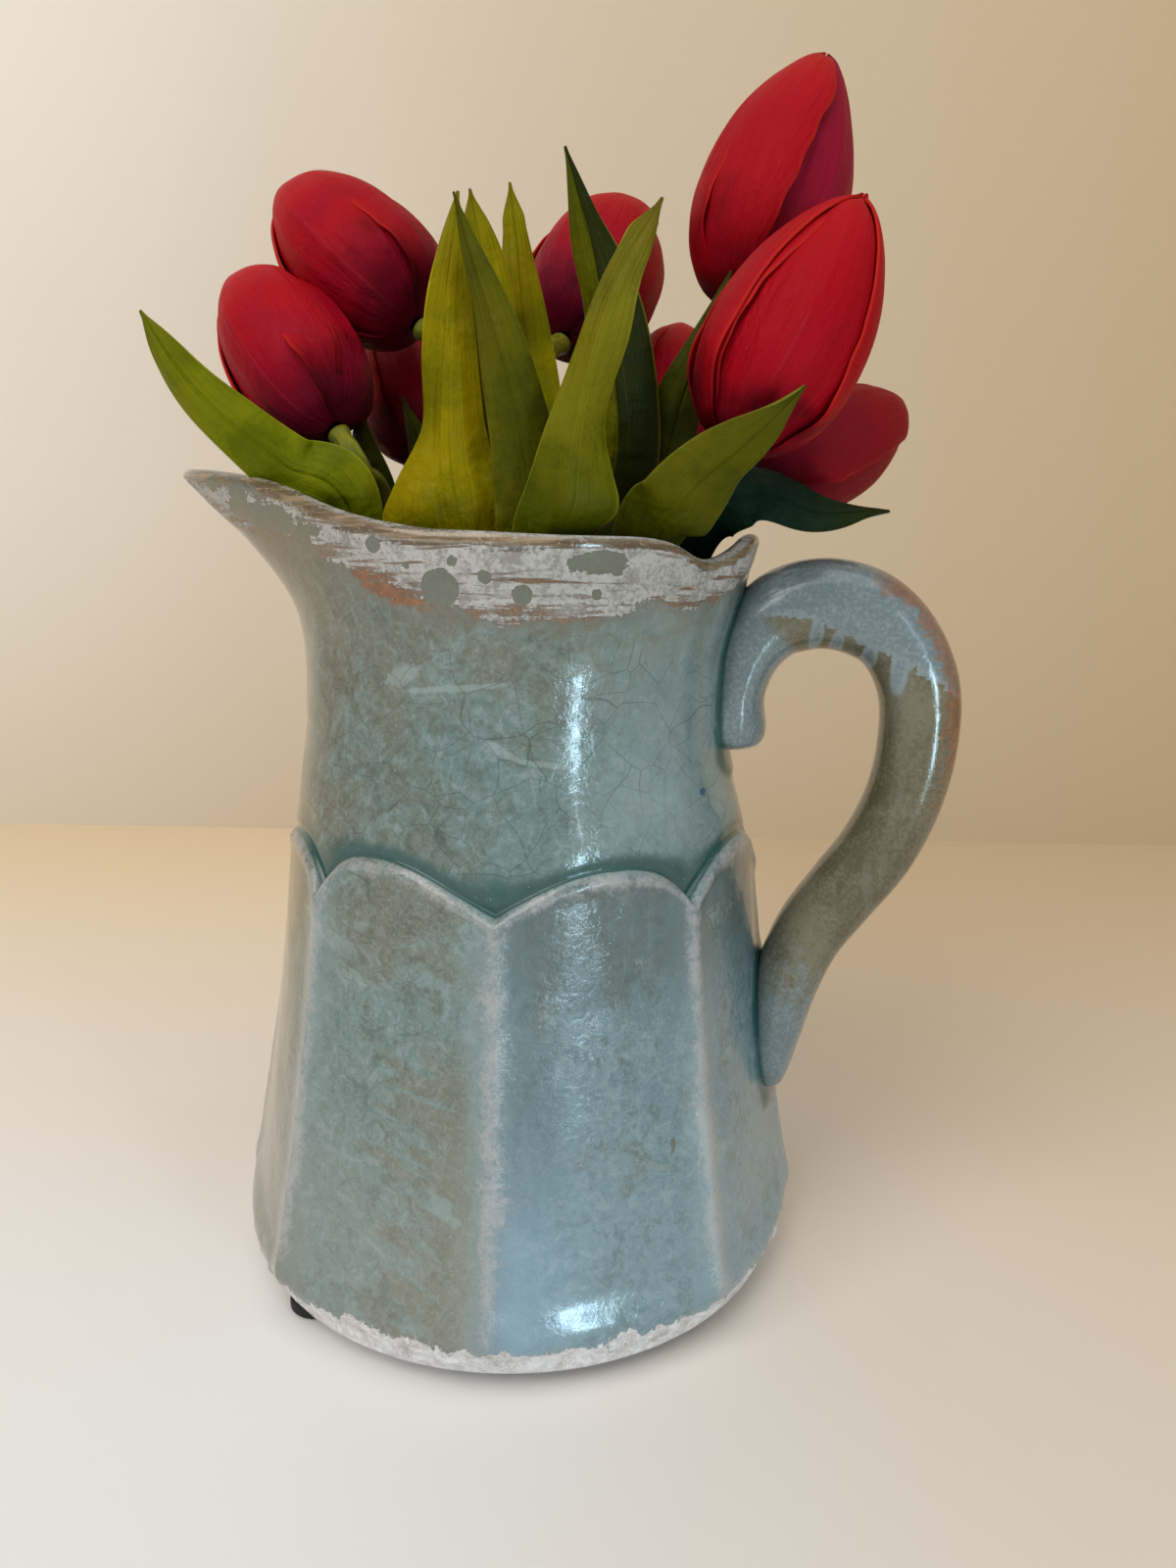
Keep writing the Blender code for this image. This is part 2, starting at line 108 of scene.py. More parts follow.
# Marks on the front of the jug, in millimetres. Ovals: across, up, half width, half height and slope.
BRUSH_STROKES = [
    (-13, 163.5, 13, 0.9, 0.10), (0, 149, 5.5, 1.2, -0.55), (8, 147, 8, 0.8, -0.12),
    (-24, 166, 5, 2.6, 0.4),
]
HANDLE_DRIPS = [(94.5, 167.5, 2.0, 7.2), (74, 175, 1.7, 4.5), (79.5, 172, 1.6, 4.5), (87.5, 169, 1.7, 4.5)]
# Round spots where the lip kept its glaze: across, up and radius.
LIP_SPOTS = [
    (-14.7, 185.5, 4.2), (-29.4, 194.7, 1.8), (-11.8, 191.5, 1.1), (-4.9, 188.2, 1.4),
    (3.0, 184.6, 2.2), (23.3, 190.1, 1.2), (19.0, 184.8, 1.0), (-22.0, 190.2, 0.7),
]

# Tulips: bloom base, bloom direction, size, where the stem crosses the mouth, where it stands, how blunt
# the bloom is, then the outer and the inner petals. Each petal has its place round the bloom in degrees,
# counted from the side that faces the front, how wide it spreads and how far up it reaches. Some also have
# how far their edges curl out, how far one edge lifts over the next petal, and how far they stand out.
TULIPS = {
    "tulip_1": (
        (-28, 3, 250), (-0.66, 0.34, 0.62), 0.98, (-17, 4, 196), (-22, 6), 0.85,
        ((-22, 1.12, 0.98, 0.0, 0.034), (88, 1.0, 0.86, 0.02, 0.012, 0.036), (214, 1.0, 0.96)),
        ((48, 1.0, 0.93), (172, 1.0, 0.95), (292, 1.0, 0.93)),
    ),
    "tulip_2": (
        (-46, -13, 222.5), (-0.52, 0.36, 0.72), 0.91, (-34, -9, 196), (-34, -11), 0.85,
        ((-34, 1.05, 0.98, 0.03, 0.030), (74, 1.05, 0.93, 0.07, 0.024, 0.018), (206, 1.0, 0.95, 0.03)),
        ((30, 1.0, 0.92), (150, 1.0, 0.95), (275, 1.0, 0.94)),
    ),
    "tulip_3": (
        (-29, 23, 220), (-0.30, 0.55, 0.74), 0.84, (-25, 25, 196), (-26, 26), 0.8,
        ((20, 1.0, 0.97), (140, 1.0, 0.95), (260, 1.0, 0.96)),
        ((80, 1.0, 0.93), (200, 1.0, 0.94), (320, 1.0, 0.93)),
    ),
    "tulip_4": (
        (9, 11, 248.5), (0.32, 0.62, 0.70), 1.02, (3, 17, 196), (2, 26), 0.6,
        ((-40, 1.0, 0.98, 0.02, 0.022), (82, 1.0, 0.95), (200, 1.0, 0.97)),
        ((22, 1.0, 0.95), (140, 1.0, 0.94), (262, 1.0, 0.95)),
    ),
    "tulip_5": (
        (38, 27, 219), (0.08, 0.50, 0.84), 0.84, (28, 29, 196), (22, 31), 0.7,
        ((10, 1.0, 0.97), (130, 1.0, 0.95), (250, 1.0, 0.96)),
        ((70, 1.0, 0.93), (190, 1.0, 0.94), (310, 1.0, 0.93)),
    ),
    "tulip_6": (
        (52, -4, 253.5), (0.325, 0.10, 0.93), 1.10, (33, 5, 198), (24, 6), 0.05,
        ((-66, 0.98, 1.0, 0.01, 0.018, 0.006), (158, 1.0, 0.985, 0.015, 0.014, 0.006), (236, 1.0, 0.97)),
        ((40, 0.98, 0.985), (168, 1.0, 0.95), (285, 1.0, 0.97)),
    ),
    "tulip_7": (
        (48.5, -38, 217), (0.44, 0.03, 0.88), 1.05, (36, -21, 197), (25, -26), 0.15,
        ((-128, 1.2, 0.995, 0.03, 0.006, -0.004), (135, 1.08, 1, 0.03, -0.006, -0.004), (185, 1.0, 0.97)),
        ((2, 1.08, 0.965), (120, 1.0, 0.93), (242, 1.0, 0.94)),
    ),
    "tulip_8": (
        (62, 3, 213), (0.80, 0.36, 0.42), 0.86, (44, 8, 200), (37, 8), 0.75,
        ((-30, 1.0, 0.98, 0.05, 0.024), (95, 1.0, 0.95, 0.03), (212, 1.0, 0.97)),
        ((38, 1.0, 0.95), (150, 1.0, 0.94), (275, 1.0, 0.95)),
    ),
}
STEM_RADIUS = 2.5
STEM_FOOT_HEIGHT = 10.6
BLOOM_LENGTH = 58.0
PETAL_SEED = 17
# From base to tip: the radius of a pointed bloom, the radius of a blunt one, and the width of a petal.
BLOOM_OUTLINE = [
    (0, 0.03), (0.012, 0.085), (0.04, 0.145), (0.08, 0.192), (0.17, 0.253), (0.29, 0.292), (0.41, 0.302),
    (0.55, 0.29), (0.68, 0.254), (0.8, 0.196), (0.9, 0.128), (0.96, 0.073), (1.0, 0.012),
]
ROUND_OUTLINE = [
    (0, 0.03), (0.012, 0.09), (0.04, 0.155), (0.08, 0.205), (0.17, 0.262), (0.29, 0.296), (0.41, 0.306),
    (0.55, 0.300), (0.68, 0.276), (0.8, 0.226), (0.88, 0.172), (0.94, 0.112), (0.98, 0.052), (1.0, 0.012),
]
PETAL_OUTLINE = [
    (0, 0.22), (0.04, 0.46), (0.1, 0.66), (0.2, 0.84), (0.34, 0.97), (0.48, 1.0), (0.62, 0.95),
    (0.75, 0.84), (0.86, 0.68), (0.94, 0.48), (0.985, 0.26), (1.0, 0.03),
]

# Leaves: the tulip whose stem carries it, the height of its root, the side of the stem it grows from in
# degrees, its midrib, its width, the directions that its outer face turns to near the root and at the
# tip, how far that face looks up, how deep its edges wave, how many waves they make and its finish.
LEAVES = {
    "leaf_01": (
        "tulip_2", 150, 225, [(-40, -19, 201.5), (-55.5, -22.5, 212.5), (-72, -30, 227), (-84.5, -35, 245)],
        22, (250, 250), 15, 1.0, 1.3, "green",
    ),
    "leaf_02": (
        "tulip_2", 158, 100, [(-38, 1, 196), (-41, 1, 214), (-43, 1, 230)],
        14, (265, 250), 0, 0.8, 1.2, "shade",
    ),
    "leaf_03": (
        "tulip_1", 160, 120, [(-21, 13, 198), (-27, 13, 216), (-34, 14, 234)],
        11, (270, 260), 0, 0.6, 1.2, "shade",
    ),
    "leaf_04": (
        "tulip_1", 140, 260, [(-14, -31, 190), (-17, -35, 214), (-16, -36, 245), (-13, -35, 271)],
        22, (262, 285), 0, 1.8, 1.5, "gold",
    ),
    "leaf_05": (
        "tulip_1", 132, 310, [(2, -38, 186), (3, -45, 210), (-4, -47, 240), (-13, -45, 268)],
        16.5, (285, 255), 0, 0.8, 1.0, "deep_green",
    ),
    "leaf_06": (
        "tulip_4", 150, 250, [(3, -15, 198), (2, -18, 225), (0, -19, 252), (-3, -18, 278)],
        18, (270, 280), 0, 0.8, 1.2, "gold",
    ),
    "leaf_07": (
        "tulip_6", 146, 240, [(21, -14, 196), (24, -21, 222), (19, -26, 254), (10, -30, 282)],
        20, (262, 250), 0, 0.9, 1.4, "twotone",
    ),
    "leaf_08": (
        "tulip_7", 134, 215, [(10, -45, 186), (11, -53, 208), (19, -54, 242), (31, -51, 266)],
        18, (275, 262), 0, 1.7, 1.6, "olive",
    ),
    "leaf_09": (
        "tulip_6", 150, 285, [(32, -12, 198), (36, -18, 222), (43, -20, 242), (49, -21, 259)],
        14, (290, 250), 0, 0.8, 1.3, "shade",
    ),
    "leaf_10": (
        "tulip_7", 150, 285, [(30, -33, 193), (37, -44, 206), (49, -53, 217), (61, -60, 228)],
        18, (295, 310), 15, 1.2, 1.4, "deep_green",
    ),
    "leaf_11": (
        "tulip_8", 164, 300, [(45, -6, 200), (58, -10, 208), (73, -15, 204), (90, -21, 205)],
        16, (275, 275), 20, 1.0, 1.2, "blue",
    ),
    "leaf_12": (
        "tulip_7", 146, 190, [(24, -31, 190), (27, -31, 200), (34, -29, 211)],
        12, (290, 300), 20, 0.6, 1.0, "shade",
    ),
    "leaf_13": (
        "tulip_1", 156, 350, [(-7, -22, 196), (-8, -28, 224), (-8, -30, 250), (-11, -30, 273)],
        18, (270, 290), 0, 0.7, 1.2, "gold",
    ),
    "leaf_14": (
        "tulip_3", 145, 80, [(-18, 40, 192), (-22, 48, 214), (-25, 55, 236), (-24, 61, 256)],
        22, (95, 80), 0, 1.3, 1.4, "green",
    ),
    "leaf_15": (
        "tulip_4", 140, 75, [(6, 42, 190), (6, 51, 214), (2, 57, 240), (-4, 62, 264)],
        23, (90, 110), 0, 1.5, 1.5, "olive",
    ),
    "leaf_16": (
        "tulip_5", 145, 20, [(39, 33, 192), (48, 42, 210), (56, 49, 230), (60, 56, 250)],
        20, (50, 40), 0, 1.2, 1.4, "green",
    ),
    "leaf_17": (
        "tulip_3", 150, 170, [(-41, 19, 200), (-53, 24, 216), (-66, 27, 224), (-81, 28, 231)],
        17, (120, 110), 25, 1.0, 1.3, "green",
    ),
}
# How much wider some leaves are than usual on their left and on their right, from root to tip.
LEAF_EDGES = {
    "leaf_01": (
        [(0, 1), (0.45, 0.8), (0.68, 0.8), (0.85, 1.25), (0.94, 1.5), (1, 1)],
        [(0, 1), (0.4, 0.8), (0.6, 0.75), (0.8, 0.95), (0.93, 1.3), (1, 1)],
    ),
    "leaf_04": (
        [(0, 1), (0.25, 1.3), (0.38, 1.45), (0.45, 1.1), (0.52, 0.62), (0.58, 0.42), (0.70, 0.62),
         (0.84, 0.85), (1, 1)],
        [(0, 1), (0.4, 1.2), (0.6, 1.0), (1, 1)],
    ),
    "leaf_05": (
        [(0, 1), (0.6, 0.9), (0.8, 0.8), (1, 1)],
        [(0, 1), (0.45, 1.2), (0.6, 1.0), (0.8, 1.2), (1, 1)],
    ),
    "leaf_06": (
        [(0, 1), (0.8, 1.0), (0.93, 1.5), (1, 1)],
        [(0, 1), (0.8, 1.0), (0.93, 1.5), (1, 1)],
    ),
    "leaf_13": (
        [(0, 1), (0.8, 1.0), (0.93, 1.5), (1, 1)],
        [(0, 1), (0.6, 1.1), (0.9, 1.7), (1, 1)],
    ),
    "leaf_07": (
        [(0, 1), (0.5, 1.1), (0.7, 0.8), (0.85, 1.2), (1, 1)],
        [(0, 1), (0.5, 1.0), (0.75, 1.3), (0.9, 0.9), (1, 1)],
    ),
    "leaf_08": (
        [(0, 1), (0.4, 0.9), (0.55, 0.75), (0.7, 0.55), (0.86, 0.9), (0.93, 1.6), (1, 1)],
        [(0, 1), (0.3, 0.8), (0.38, 0.75), (0.47, 1.45), (0.53, 1.25),
         (0.60, 0.85), (0.66, 0.9), (0.74, 1.25), (0.84, 1.3), (0.93, 1.5), (1, 1)],
    ),
    "leaf_10": (
        [(0, 1), (0.6, 1.1), (0.85, 1.2), (1, 1)],
        [(0, 1), (0.5, 1.2), (0.7, 0.95), (0.88, 1.3), (1, 1)],
    ),
}
# Leaf finishes: light, dark and tip colours, how much painted shade darkens the right half, where a folded
# leaf turns away from the light, and how dark the root is, partly the leaf's own darker base and partly
# painted shade near the rim.
LEAF_LOOKS = {
    "gold": ((0.265, 0.205, 0.000), (0.140, 0.128, 0.000), (0.200, 0.180, 0.003)),
    "green": ((0.176, 0.188, 0.002), (0.104, 0.122, 0.000), (0.172, 0.176, 0.006)),
    "olive": ((0.160, 0.146, 0.004), (0.058, 0.072, 0.000), (0.170, 0.130, 0.016), 0.0, 0.85),
    "deep_green": ((0.095, 0.092, 0.002), (0.050, 0.056, 0.001), (0.090, 0.088, 0.004)),
    "shade": ((0.048, 0.052, 0.001), (0.018, 0.026, 0.001), (0.080, 0.080, 0.004)),
    "blue": ((0.010, 0.030, 0.016), (0.004, 0.014, 0.008), (0.042, 0.052, 0.004)),
    "twotone": ((0.130, 0.122, 0.000), (0.062, 0.066, 0.000), (0.09, 0.10, 0.006), 0.9),
}
LEAF_THICKNESS = 0.8
LEAF_ROOT_WIDTH = 3.4
LEAF_ROOT_GAP = 0.8
LEAF_FOLD = 0.42


# Shader maths


class Value:
    """A socket of a finish's nodes. Python's own signs do its maths."""

    def __init__(self, finish, socket):
        self.finish = finish
        self.socket = socket

    def maths(self, operation, *others, clamp=False):
        settings = {"operation": operation, "use_clamp": clamp}
        return self.finish.node("ShaderNodeMath", settings, dict(enumerate((self, *others))))

    def __add__(self, other):
        return self.maths("ADD", other)

    __radd__ = __add__

    def __sub__(self, other):
        return self.maths("SUBTRACT", other)

    def __rsub__(self, other):
        return self.finish.node("ShaderNodeMath", {"operation": "SUBTRACT"}, {0: other, 1: self})

    def __mul__(self, other):
        return self.maths("MULTIPLY", other)

    __rmul__ = __mul__

    def __truediv__(self, other):
        return self.maths("DIVIDE", other)

    def __pow__(self, other):
        return self.maths("POWER", other)

    def __abs__(self):
        return self.maths("ABSOLUTE")

    def at_least(self, other):
        return self.maths("MAXIMUM", other)

    def at_most(self, other):
        return self.maths("MINIMUM", other)

    def within(self):
        return self.maths("ADD", 0.0, clamp=True)

    def swing(self, amount):
        """A noise round 0 instead of round a half, times an amount."""
        return (self - 0.5) * amount

    def rise(self, start, end):
        """0 up to start, 1 from end on, and eased between them. It falls where end is below start."""
        low, high, first, last = (start, end, 0.0, 1.0) if end > start else (end, start, 1.0, 0.0)
        settings = {"interpolation_type": "SMOOTHSTEP"}
        values = {"Value": self, "From Min": low, "From Max": high, "To Min": first, "To Max": last}
        return self.finish.node("ShaderNodeMapRange", settings, values)

    def part(self, index):
        return self.finish.node("ShaderNodeSeparateXYZ", {}, {0: self}, index)


class Finish:
    """A material made of nodes round one Principled shader."""

    def __init__(self, name, **fixed):
        self.material = bpy.data.materials.new(name)
        self.material.use_nodes = True
        self.tree = self.material.node_tree
        self.shader = self.tree.nodes["Principled BSDF"]
        for socket, amount in fixed.items():
            self.shader.inputs[socket.replace("_", " ")].default_value = amount

    def node(self, kind, settings, values, output=0):
        """One node: its settings first, then the value or the link of each socket, by name or by number."""
        made = self.tree.nodes.new(kind)
        for setting, choice in settings.items():
            setattr(made, setting, choice)
        for socket, given in values.items():
            if isinstance(given, Value):
                self.tree.links.new(given.socket, made.inputs[socket])
            else:
                made.inputs[socket].default_value = given
        return Value(self, made.outputs[output])

    def place(self, *stretch):
        """Object coordinates in millimetres, stretched by a factor along each axis."""
        spot = self.node("ShaderNodeTexCoord", {}, {}, 3)
        factor = [1000.0 * s for s in (stretch or (1.0, 1.0, 1.0))]
        return self.node("ShaderNodeVectorMath", {"operation": "MULTIPLY"}, {0: spot, 1: factor})

    def along(self, *stretch):
        """The piece's own UV map, stretched across and along."""
        spot = self.node("ShaderNodeUVMap", {"uv_map": "UVMap"}, {})
        return self.node("ShaderNodeVectorMath", {"operation": "MULTIPLY"}, {0: spot, 1: (*stretch, 0.0)})

    def shift(self, spot, amount):
        return self.node("ShaderNodeVectorMath", {"operation": "ADD"}, {0: spot, 1: amount})

    def stretched(self, spot, factors, turn=(0.0, 0.0, 0.0)):
        return self.node("ShaderNodeMapping", {}, {0: spot, 2: turn, 3: factors})

    def grain(self, spot, scale, detail=3.0, roughness=0.55, distortion=0.0):
        values = {"Vector": spot, "Scale": scale, "Detail": detail, "Roughness": roughness}
        return self.node("ShaderNodeTexNoise", {}, {**values, "Distortion": distortion})

    def cells(self, spot, scale, feature="F1"):
        return self.node("ShaderNodeTexVoronoi", {"feature": feature}, {"Vector": spot, "Scale": scale})

    def attribute(self, name):
        return self.node("ShaderNodeAttribute", {"attribute_name": name}, {}, 2)

    def mix(self, share, first, second):
        """A colour from first to second."""
        first, second = (c if isinstance(c, Value) else (*c, 1.0) for c in (first, second))
        return self.node("ShaderNodeMix", {"data_type": "RGBA"}, {0: share, 6: first, 7: second}, 2)

    def paint(self, share, tint):
        """Lays a share of a tint over the base colour so far."""
        self.colour = self.mix(share, self.colour, tint)

    def bump(self, height, depth):
        """A bump whose height of 1 stands depth millimetres proud."""
        return self.node("ShaderNodeBump", {}, {"Height": height, "Distance": depth * MM, "Strength": 1.0})

    def feed(self, **values):
        """Links the finished values into the shader."""
        for socket, given in values.items():
            self.tree.links.new(given.socket, self.shader.inputs[socket.replace("_", " ")])
        return self.material


# Shaping


def eased(share):
    share = np.clip(share, 0.0, 1.0)
    return share * share * (3 - 2 * share)


def hump(distance, width):
    return np.exp(-((distance / width) ** 2))


def curve_points(points, count):
    """Points along the smooth curve (Catmull-Rom) through the given ones, as rows."""
    points = np.array(points, float)
    spans = len(points) - 1
    padded = np.vstack([2 * points[0] - points[1], points, 2 * points[-1] - points[-2]])
    share = np.linspace(0, spans, count)
    span = np.minimum(share.astype(int), spans - 1)
    t = (share - span)[:, None]
    before, start, end, after = (padded[span + k] for k in range(4))
    return 0.5 * (
        2 * start
        + (end - before) * t
        + (2 * before - 5 * start + 4 * end - after) * t**2
        + (3 * start - 3 * end + after - before) * t**3
    )


def reader(outline):
    """A function that reads the second number of a smooth outline at the first one."""
    dense = curve_points(outline, 40 * len(outline))
    return lambda at: np.interp(at, dense[:, 0], dense[:, 1])


def unit(rows):
    """The same directions at length 1."""
    return rows / np.linalg.norm(rows, axis=-1, keepdims=True)


def ripple(places, size, seed, octaves=2):
    """Smooth noise from -1 to 1 at rows of places in millimetres, with ripples of about that size."""
    shift = Vector((seed * 17.3, seed * 5.9, seed * 11.1))
    return np.array([noise.fractal(Vector(p) / size + shift, 1.0, 2.0, octaves) for p in places])


def only(obj):
    """Leaves this object alone selected and active."""
    bpy.ops.object.select_all(action="DESELECT")
    obj.select_set(True)
    bpy.context.view_layer.objects.active = obj


def sheet(name, across, lengthwise):
    """A flat grid from 0 to 1 across and along, with its UV map, ready to be shaped."""
    bpy.ops.object.select_all(action="DESELECT")
    counts = {"x_subdivisions": across, "y_subdivisions": lengthwise}
    bpy.ops.mesh.primitive_grid_add(**counts, size=1, location=(0.5, 0.5, 0))
    made = bpy.context.object
    made.name = name
    made.data.name = name
    bpy.ops.object.transform_apply(location=True, rotation=True, scale=True)
    return made


def shares(obj):
    """How far across and along the flat sheet each of its points lies."""
    flat = np.empty(len(obj.data.vertices) * 3)
    obj.data.vertices.foreach_get("co", flat)
    flat = flat.reshape(-1, 3)
    return flat[:, 0], flat[:, 1]


def round_axis(radius, angle, height):
    """Places from polar ones: how far out, at which angle, and how high."""
    return np.stack([radius * np.cos(angle), radius * np.sin(angle), height], -1)


def put_down(obj, places):
    """Moves the points to their places, given in millimetres round the jug's axis."""
    places = np.asarray(places) * MM + np.array(AXIS)
    obj.data.vertices.foreach_set("co", places.ravel())
    obj.data.update()


def apply(obj, kind, **settings):
    """Adds a modifier and applies it."""
    only(obj)
    modifier = obj.modifiers.new(kind.lower(), kind)
    for setting, choice in settings.items():
        setattr(modifier, setting, choice)
    bpy.ops.object.modifier_apply(modifier=modifier.name)


def close_seams(obj, reach):
    """Merges points that lie within reach of each other, in millimetres, and turns the faces outwards."""
    only(obj)
    bpy.ops.object.mode_set(mode="EDIT")
    bpy.ops.mesh.select_all(action="SELECT")
    bpy.ops.mesh.remove_doubles(threshold=reach * MM)
    bpy.ops.mesh.normals_make_consistent(inside=False)
    bpy.ops.object.mode_set(mode="OBJECT")


def join(name, pieces):
    only(pieces[0])
    for piece in pieces[1:]:
        piece.select_set(True)
    bpy.ops.object.join()
    pieces[0].name = name
    pieces[0].data.name = name
    return pieces[0]


def done(obj, finish, *nodes):
    """Gives a piece its finish and its place in the frame."""
    obj.data.materials.clear()
    obj.data.materials.append(finish)
    only(obj)
    bpy.ops.object.shade_smooth()
    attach(obj, "root")
    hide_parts(*nodes)


# Jug


body_radius = reader(BODY_OUTLINE)
neck_radius = reader(NECK_OUTLINE)
lip_radius = reader(LIP_OUTLINE)
spout_share = reader(SPOUT_OUTLINE)
cavity_radius = reader(CAVITY_OUTLINE)


def panel_place(angle):
    """Where an angle lies across its panel: -1 and 1 on the ridges, 0 in the middle."""
    return 2 * (((angle - RIDGE_ANGLE) / (2 * math.pi / PANELS)) % 1) - 1


def panelled(angle, height, outline_radius):
    """The radius of the panelled body, with a bead along each ridge."""
    half = math.pi / PANELS
    place = panel_place(angle)
    chord = math.cos(half) / np.cos(place * half)
    upward = eased((height - 24) / (VALLEY_HEIGHT - 24))
    flatness = PANEL_FLATNESS_LOW + (PANEL_FLATNESS_TOP - PANEL_FLATNESS_LOW) * upward
    flatness = flatness * eased((height - 6) / 17)
    off_ridge = (1 - abs(place)) * half * outline_radius
    bead = 0.28 * hump(off_ridge, 2.6) - 0.12 * hump(off_ridge - 6.0, 3.0)
    return outline_radius * (1 - flatness * (1 - chord)) + bead * eased((height - 8) / 14)


def arch_height(angle):
    """The top of each panel: an arch, which leans to one side on some of the panels."""
    place = panel_place(angle)
    panel = np.floor((angle - RIDGE_ANGLE) / (2 * math.pi / PANELS)) % PANELS
    lean = -0.3 * np.sin(2.2 * panel)
    place = place + lean * (1 - place**2)
    uneven = 0.5 * np.sin(2.9 * panel) * (1 - place**4)
    return VALLEY_HEIGHT + ARCH_RISE * (1 - abs(place) ** 2.5) + uneven


def from_spout(angle):
    """Degrees round the jug from the middle of the spout, 0 to 180."""
    turn = np.degrees(angle - HANDLE_ANGLE) % 360
    return abs(turn - 180)


def rim_height(angle):
    away = from_spout(angle)
    rise = SPOUT_RISE * eased((SPOUT_SIDE - away) / SPOUT_SIDE) ** 0.8
    ear = 1.5 * eased((away - HANDLE_SIDE) / 20) - RIM_DIP_DEPTH * hump(away - RIM_DIP, 13)
    unevenness = 0.35 * np.sin(3 * angle + 0.8) + 0.25 * np.sin(7 * angle + 2.0)
    return RIM_HEIGHT + rise + ear + unevenness


def lip(angle, share):
    """(radius, height) of the flared lip's outside, share from 0 on the neck to 1 at the rim."""
    away = from_spout(angle)
    height = NECK_HEIGHT + (rim_height(angle) - NECK_HEIGHT) * share
    spout = SPOUT_REACH * np.maximum(0.0, np.cos(np.radians(away))) ** 10
    pinch = 4.5 * hump(away - RIM_DIP, 14) + 2.0 * eased((away - HANDLE_SIDE) / 20)
    radius = lip_radius(share) + spout * spout_share(share) - pinch * share**4
    return radius + sway(angle, height), height


def sway(angle, height):
    """How much further out the neck stands on the spout's side: it leans a little that way."""
    return -1.3 * np.cos(angle) * eased((height - 124) / 18) * eased((205 - height) / 20)


def outside_radius(angle, height):
    """The radius of the jug's outside at a height, without its fine unevenness."""
    share = np.clip((height - NECK_HEIGHT) / (rim_height(angle) - NECK_HEIGHT), 0, 1)
    above = np.where(height > NECK_HEIGHT, lip(angle, share)[0], neck_radius(height) + sway(angle, height))
    return np.where(height < arch_height(angle), panelled(angle, height, body_radius(height)), above)


def jug_rows(angle):
    """Every ring of the jug, from the middle of its underside up the outside and down the inside to the
    middle of its floor, as (radius, height, drop, ridge, pool, flank, body) for each angle."""
    arch = arch_height(angle)
    place = abs(panel_place(angle))
    flat = np.zeros_like(angle)
    rim = rim_height(angle)
    on_ridge = (1 - place) * RIDGE_TO_MIDDLE
    pool_depth = 3.8 + 8.0 * place**4
    rows = []

    def ring(radius, height, ridge=flat, pool=flat, inside=False, body=0.0):
        drop = rim - height
        flank = body * hump(on_ridge * radius, 9.5)
        values = (radius, height, -drop if inside else drop, ridge, pool, flank, body)
        rows.append([value + flat for value in values])

    for radius in (0.02, 20, 40, 55, 60):
        ring(radius, UNDERSIDE_HEIGHT)
    for height, radius in curve_points(FOOT_OUTLINE, 24)[:-1]:
        ring(panelled(angle, height, radius), height, body=eased((height - 6) / 8))
    for share in np.linspace(0, 1, 68):
        height = FOOT_HEIGHT + (arch - 6 - FOOT_HEIGHT) * share
        radius = panelled(angle, height, body_radius(height))
        ring(radius, height, hump(on_ridge * radius, 3.4) * eased((height - 8) / 16), body=1.0)
    groove = neck_radius(arch)
    for drop in (-4.8, -3.9, -3.1, -2.5, -2.0, -1.5, -1.1, -0.75, -0.45, -0.2, 0.0):
        height = arch + drop
        round_over = 1 - np.sqrt(1 - np.clip((drop + 2.6) / 2.6, 0, 1) ** 2)
        outer = panelled(angle, height, body_radius(height)) + 0.45 * hump(drop + 2.6, 1.6)
        radius = outer + (groove - 0.6 - outer) * round_over
        edge = hump(on_ridge * radius, 3.4) * eased(-(drop + 1) / 3)
        edge = np.maximum(0.85 * hump(drop + 2.4, 2.3), edge)
        ring(radius, height, edge, eased((drop + 0.9) / 0.9), body=eased(-(drop + 0.5) / 2))
    for rise in (0.3, 0.7, 1.2, 1.9, 2.8, 4.0, 5.5, GROOVE_RISE):
        depth = 0.6 * hump(rise, 1.8)
        ring(neck_radius(arch + rise) - depth, arch + rise, 0, hump(rise, pool_depth))
    for share in np.linspace(0.04, 1, 38):
        height = arch + GROOVE_RISE + (NECK_HEIGHT - arch - GROOVE_RISE) * share
        ring(neck_radius(height) + sway(angle, height), height, 0, hump(height - arch, pool_depth))
    for share in np.linspace(0.02, LIP_SHARE, 50):
        ring(*lip(angle, share))
    for turn in np.linspace(0, math.pi, 11)[1:-1]:
        radius, height = lip(angle, LIP_SHARE)
        inset = LIP_THICKNESS / 2 * (1 - math.cos(turn))
        ring(radius + 0.2 * math.sin(turn) - inset, height + 2.1 * math.sin(turn), inside=turn > 1.8)
    for share in np.linspace(LIP_SHARE, 0, 26):
        radius, height = lip(angle, share)
        thickness = LIP_THICKNESS + (WALL - LIP_THICKNESS) * eased((LIP_SHARE - share) * 3)
        ring(radius - thickness, height, inside=True)
    for height in np.linspace(146, 18, 20):
        ring(cavity_radius(height), height, inside=True)
    for radius, height in ((60, 14), (56, 12), (48, 10.8), (40, 10), (20, 10), (0.02, 10)):
        ring(radius, height, inside=True)
    return rows


def handle_section(angle, height, radius):
    """How far points lie from the handle's roll, in millimetres: less than 0 inside it."""
    roll = curve_points(HANDLE_ROLL, 150)
    out = radius * np.cos(angle - HANDLE_ANGLE)
    aside = radius * np.sin(angle - HANDLE_ANGLE)
    gap = np.stack([out, height], 1)[:, None, :] - roll[None, :, :2]
    nearest = np.argmin((gap**2).sum(2), axis=1)
    chosen = gap[np.arange(len(nearest)), nearest]
    crosswise = np.hypot(np.hypot(chosen[:, 0], chosen[:, 1]) / roll[nearest, 2], aside / roll[nearest, 3])
    return (crosswise - 1) * roll[nearest, 2]


def name_values(obj, **columns):
    for name, values in columns.items():
        layer = obj.data.attributes.new(name, "FLOAT", "POINT")
        layer.data.foreach_set("value", np.asarray(values, np.float32))


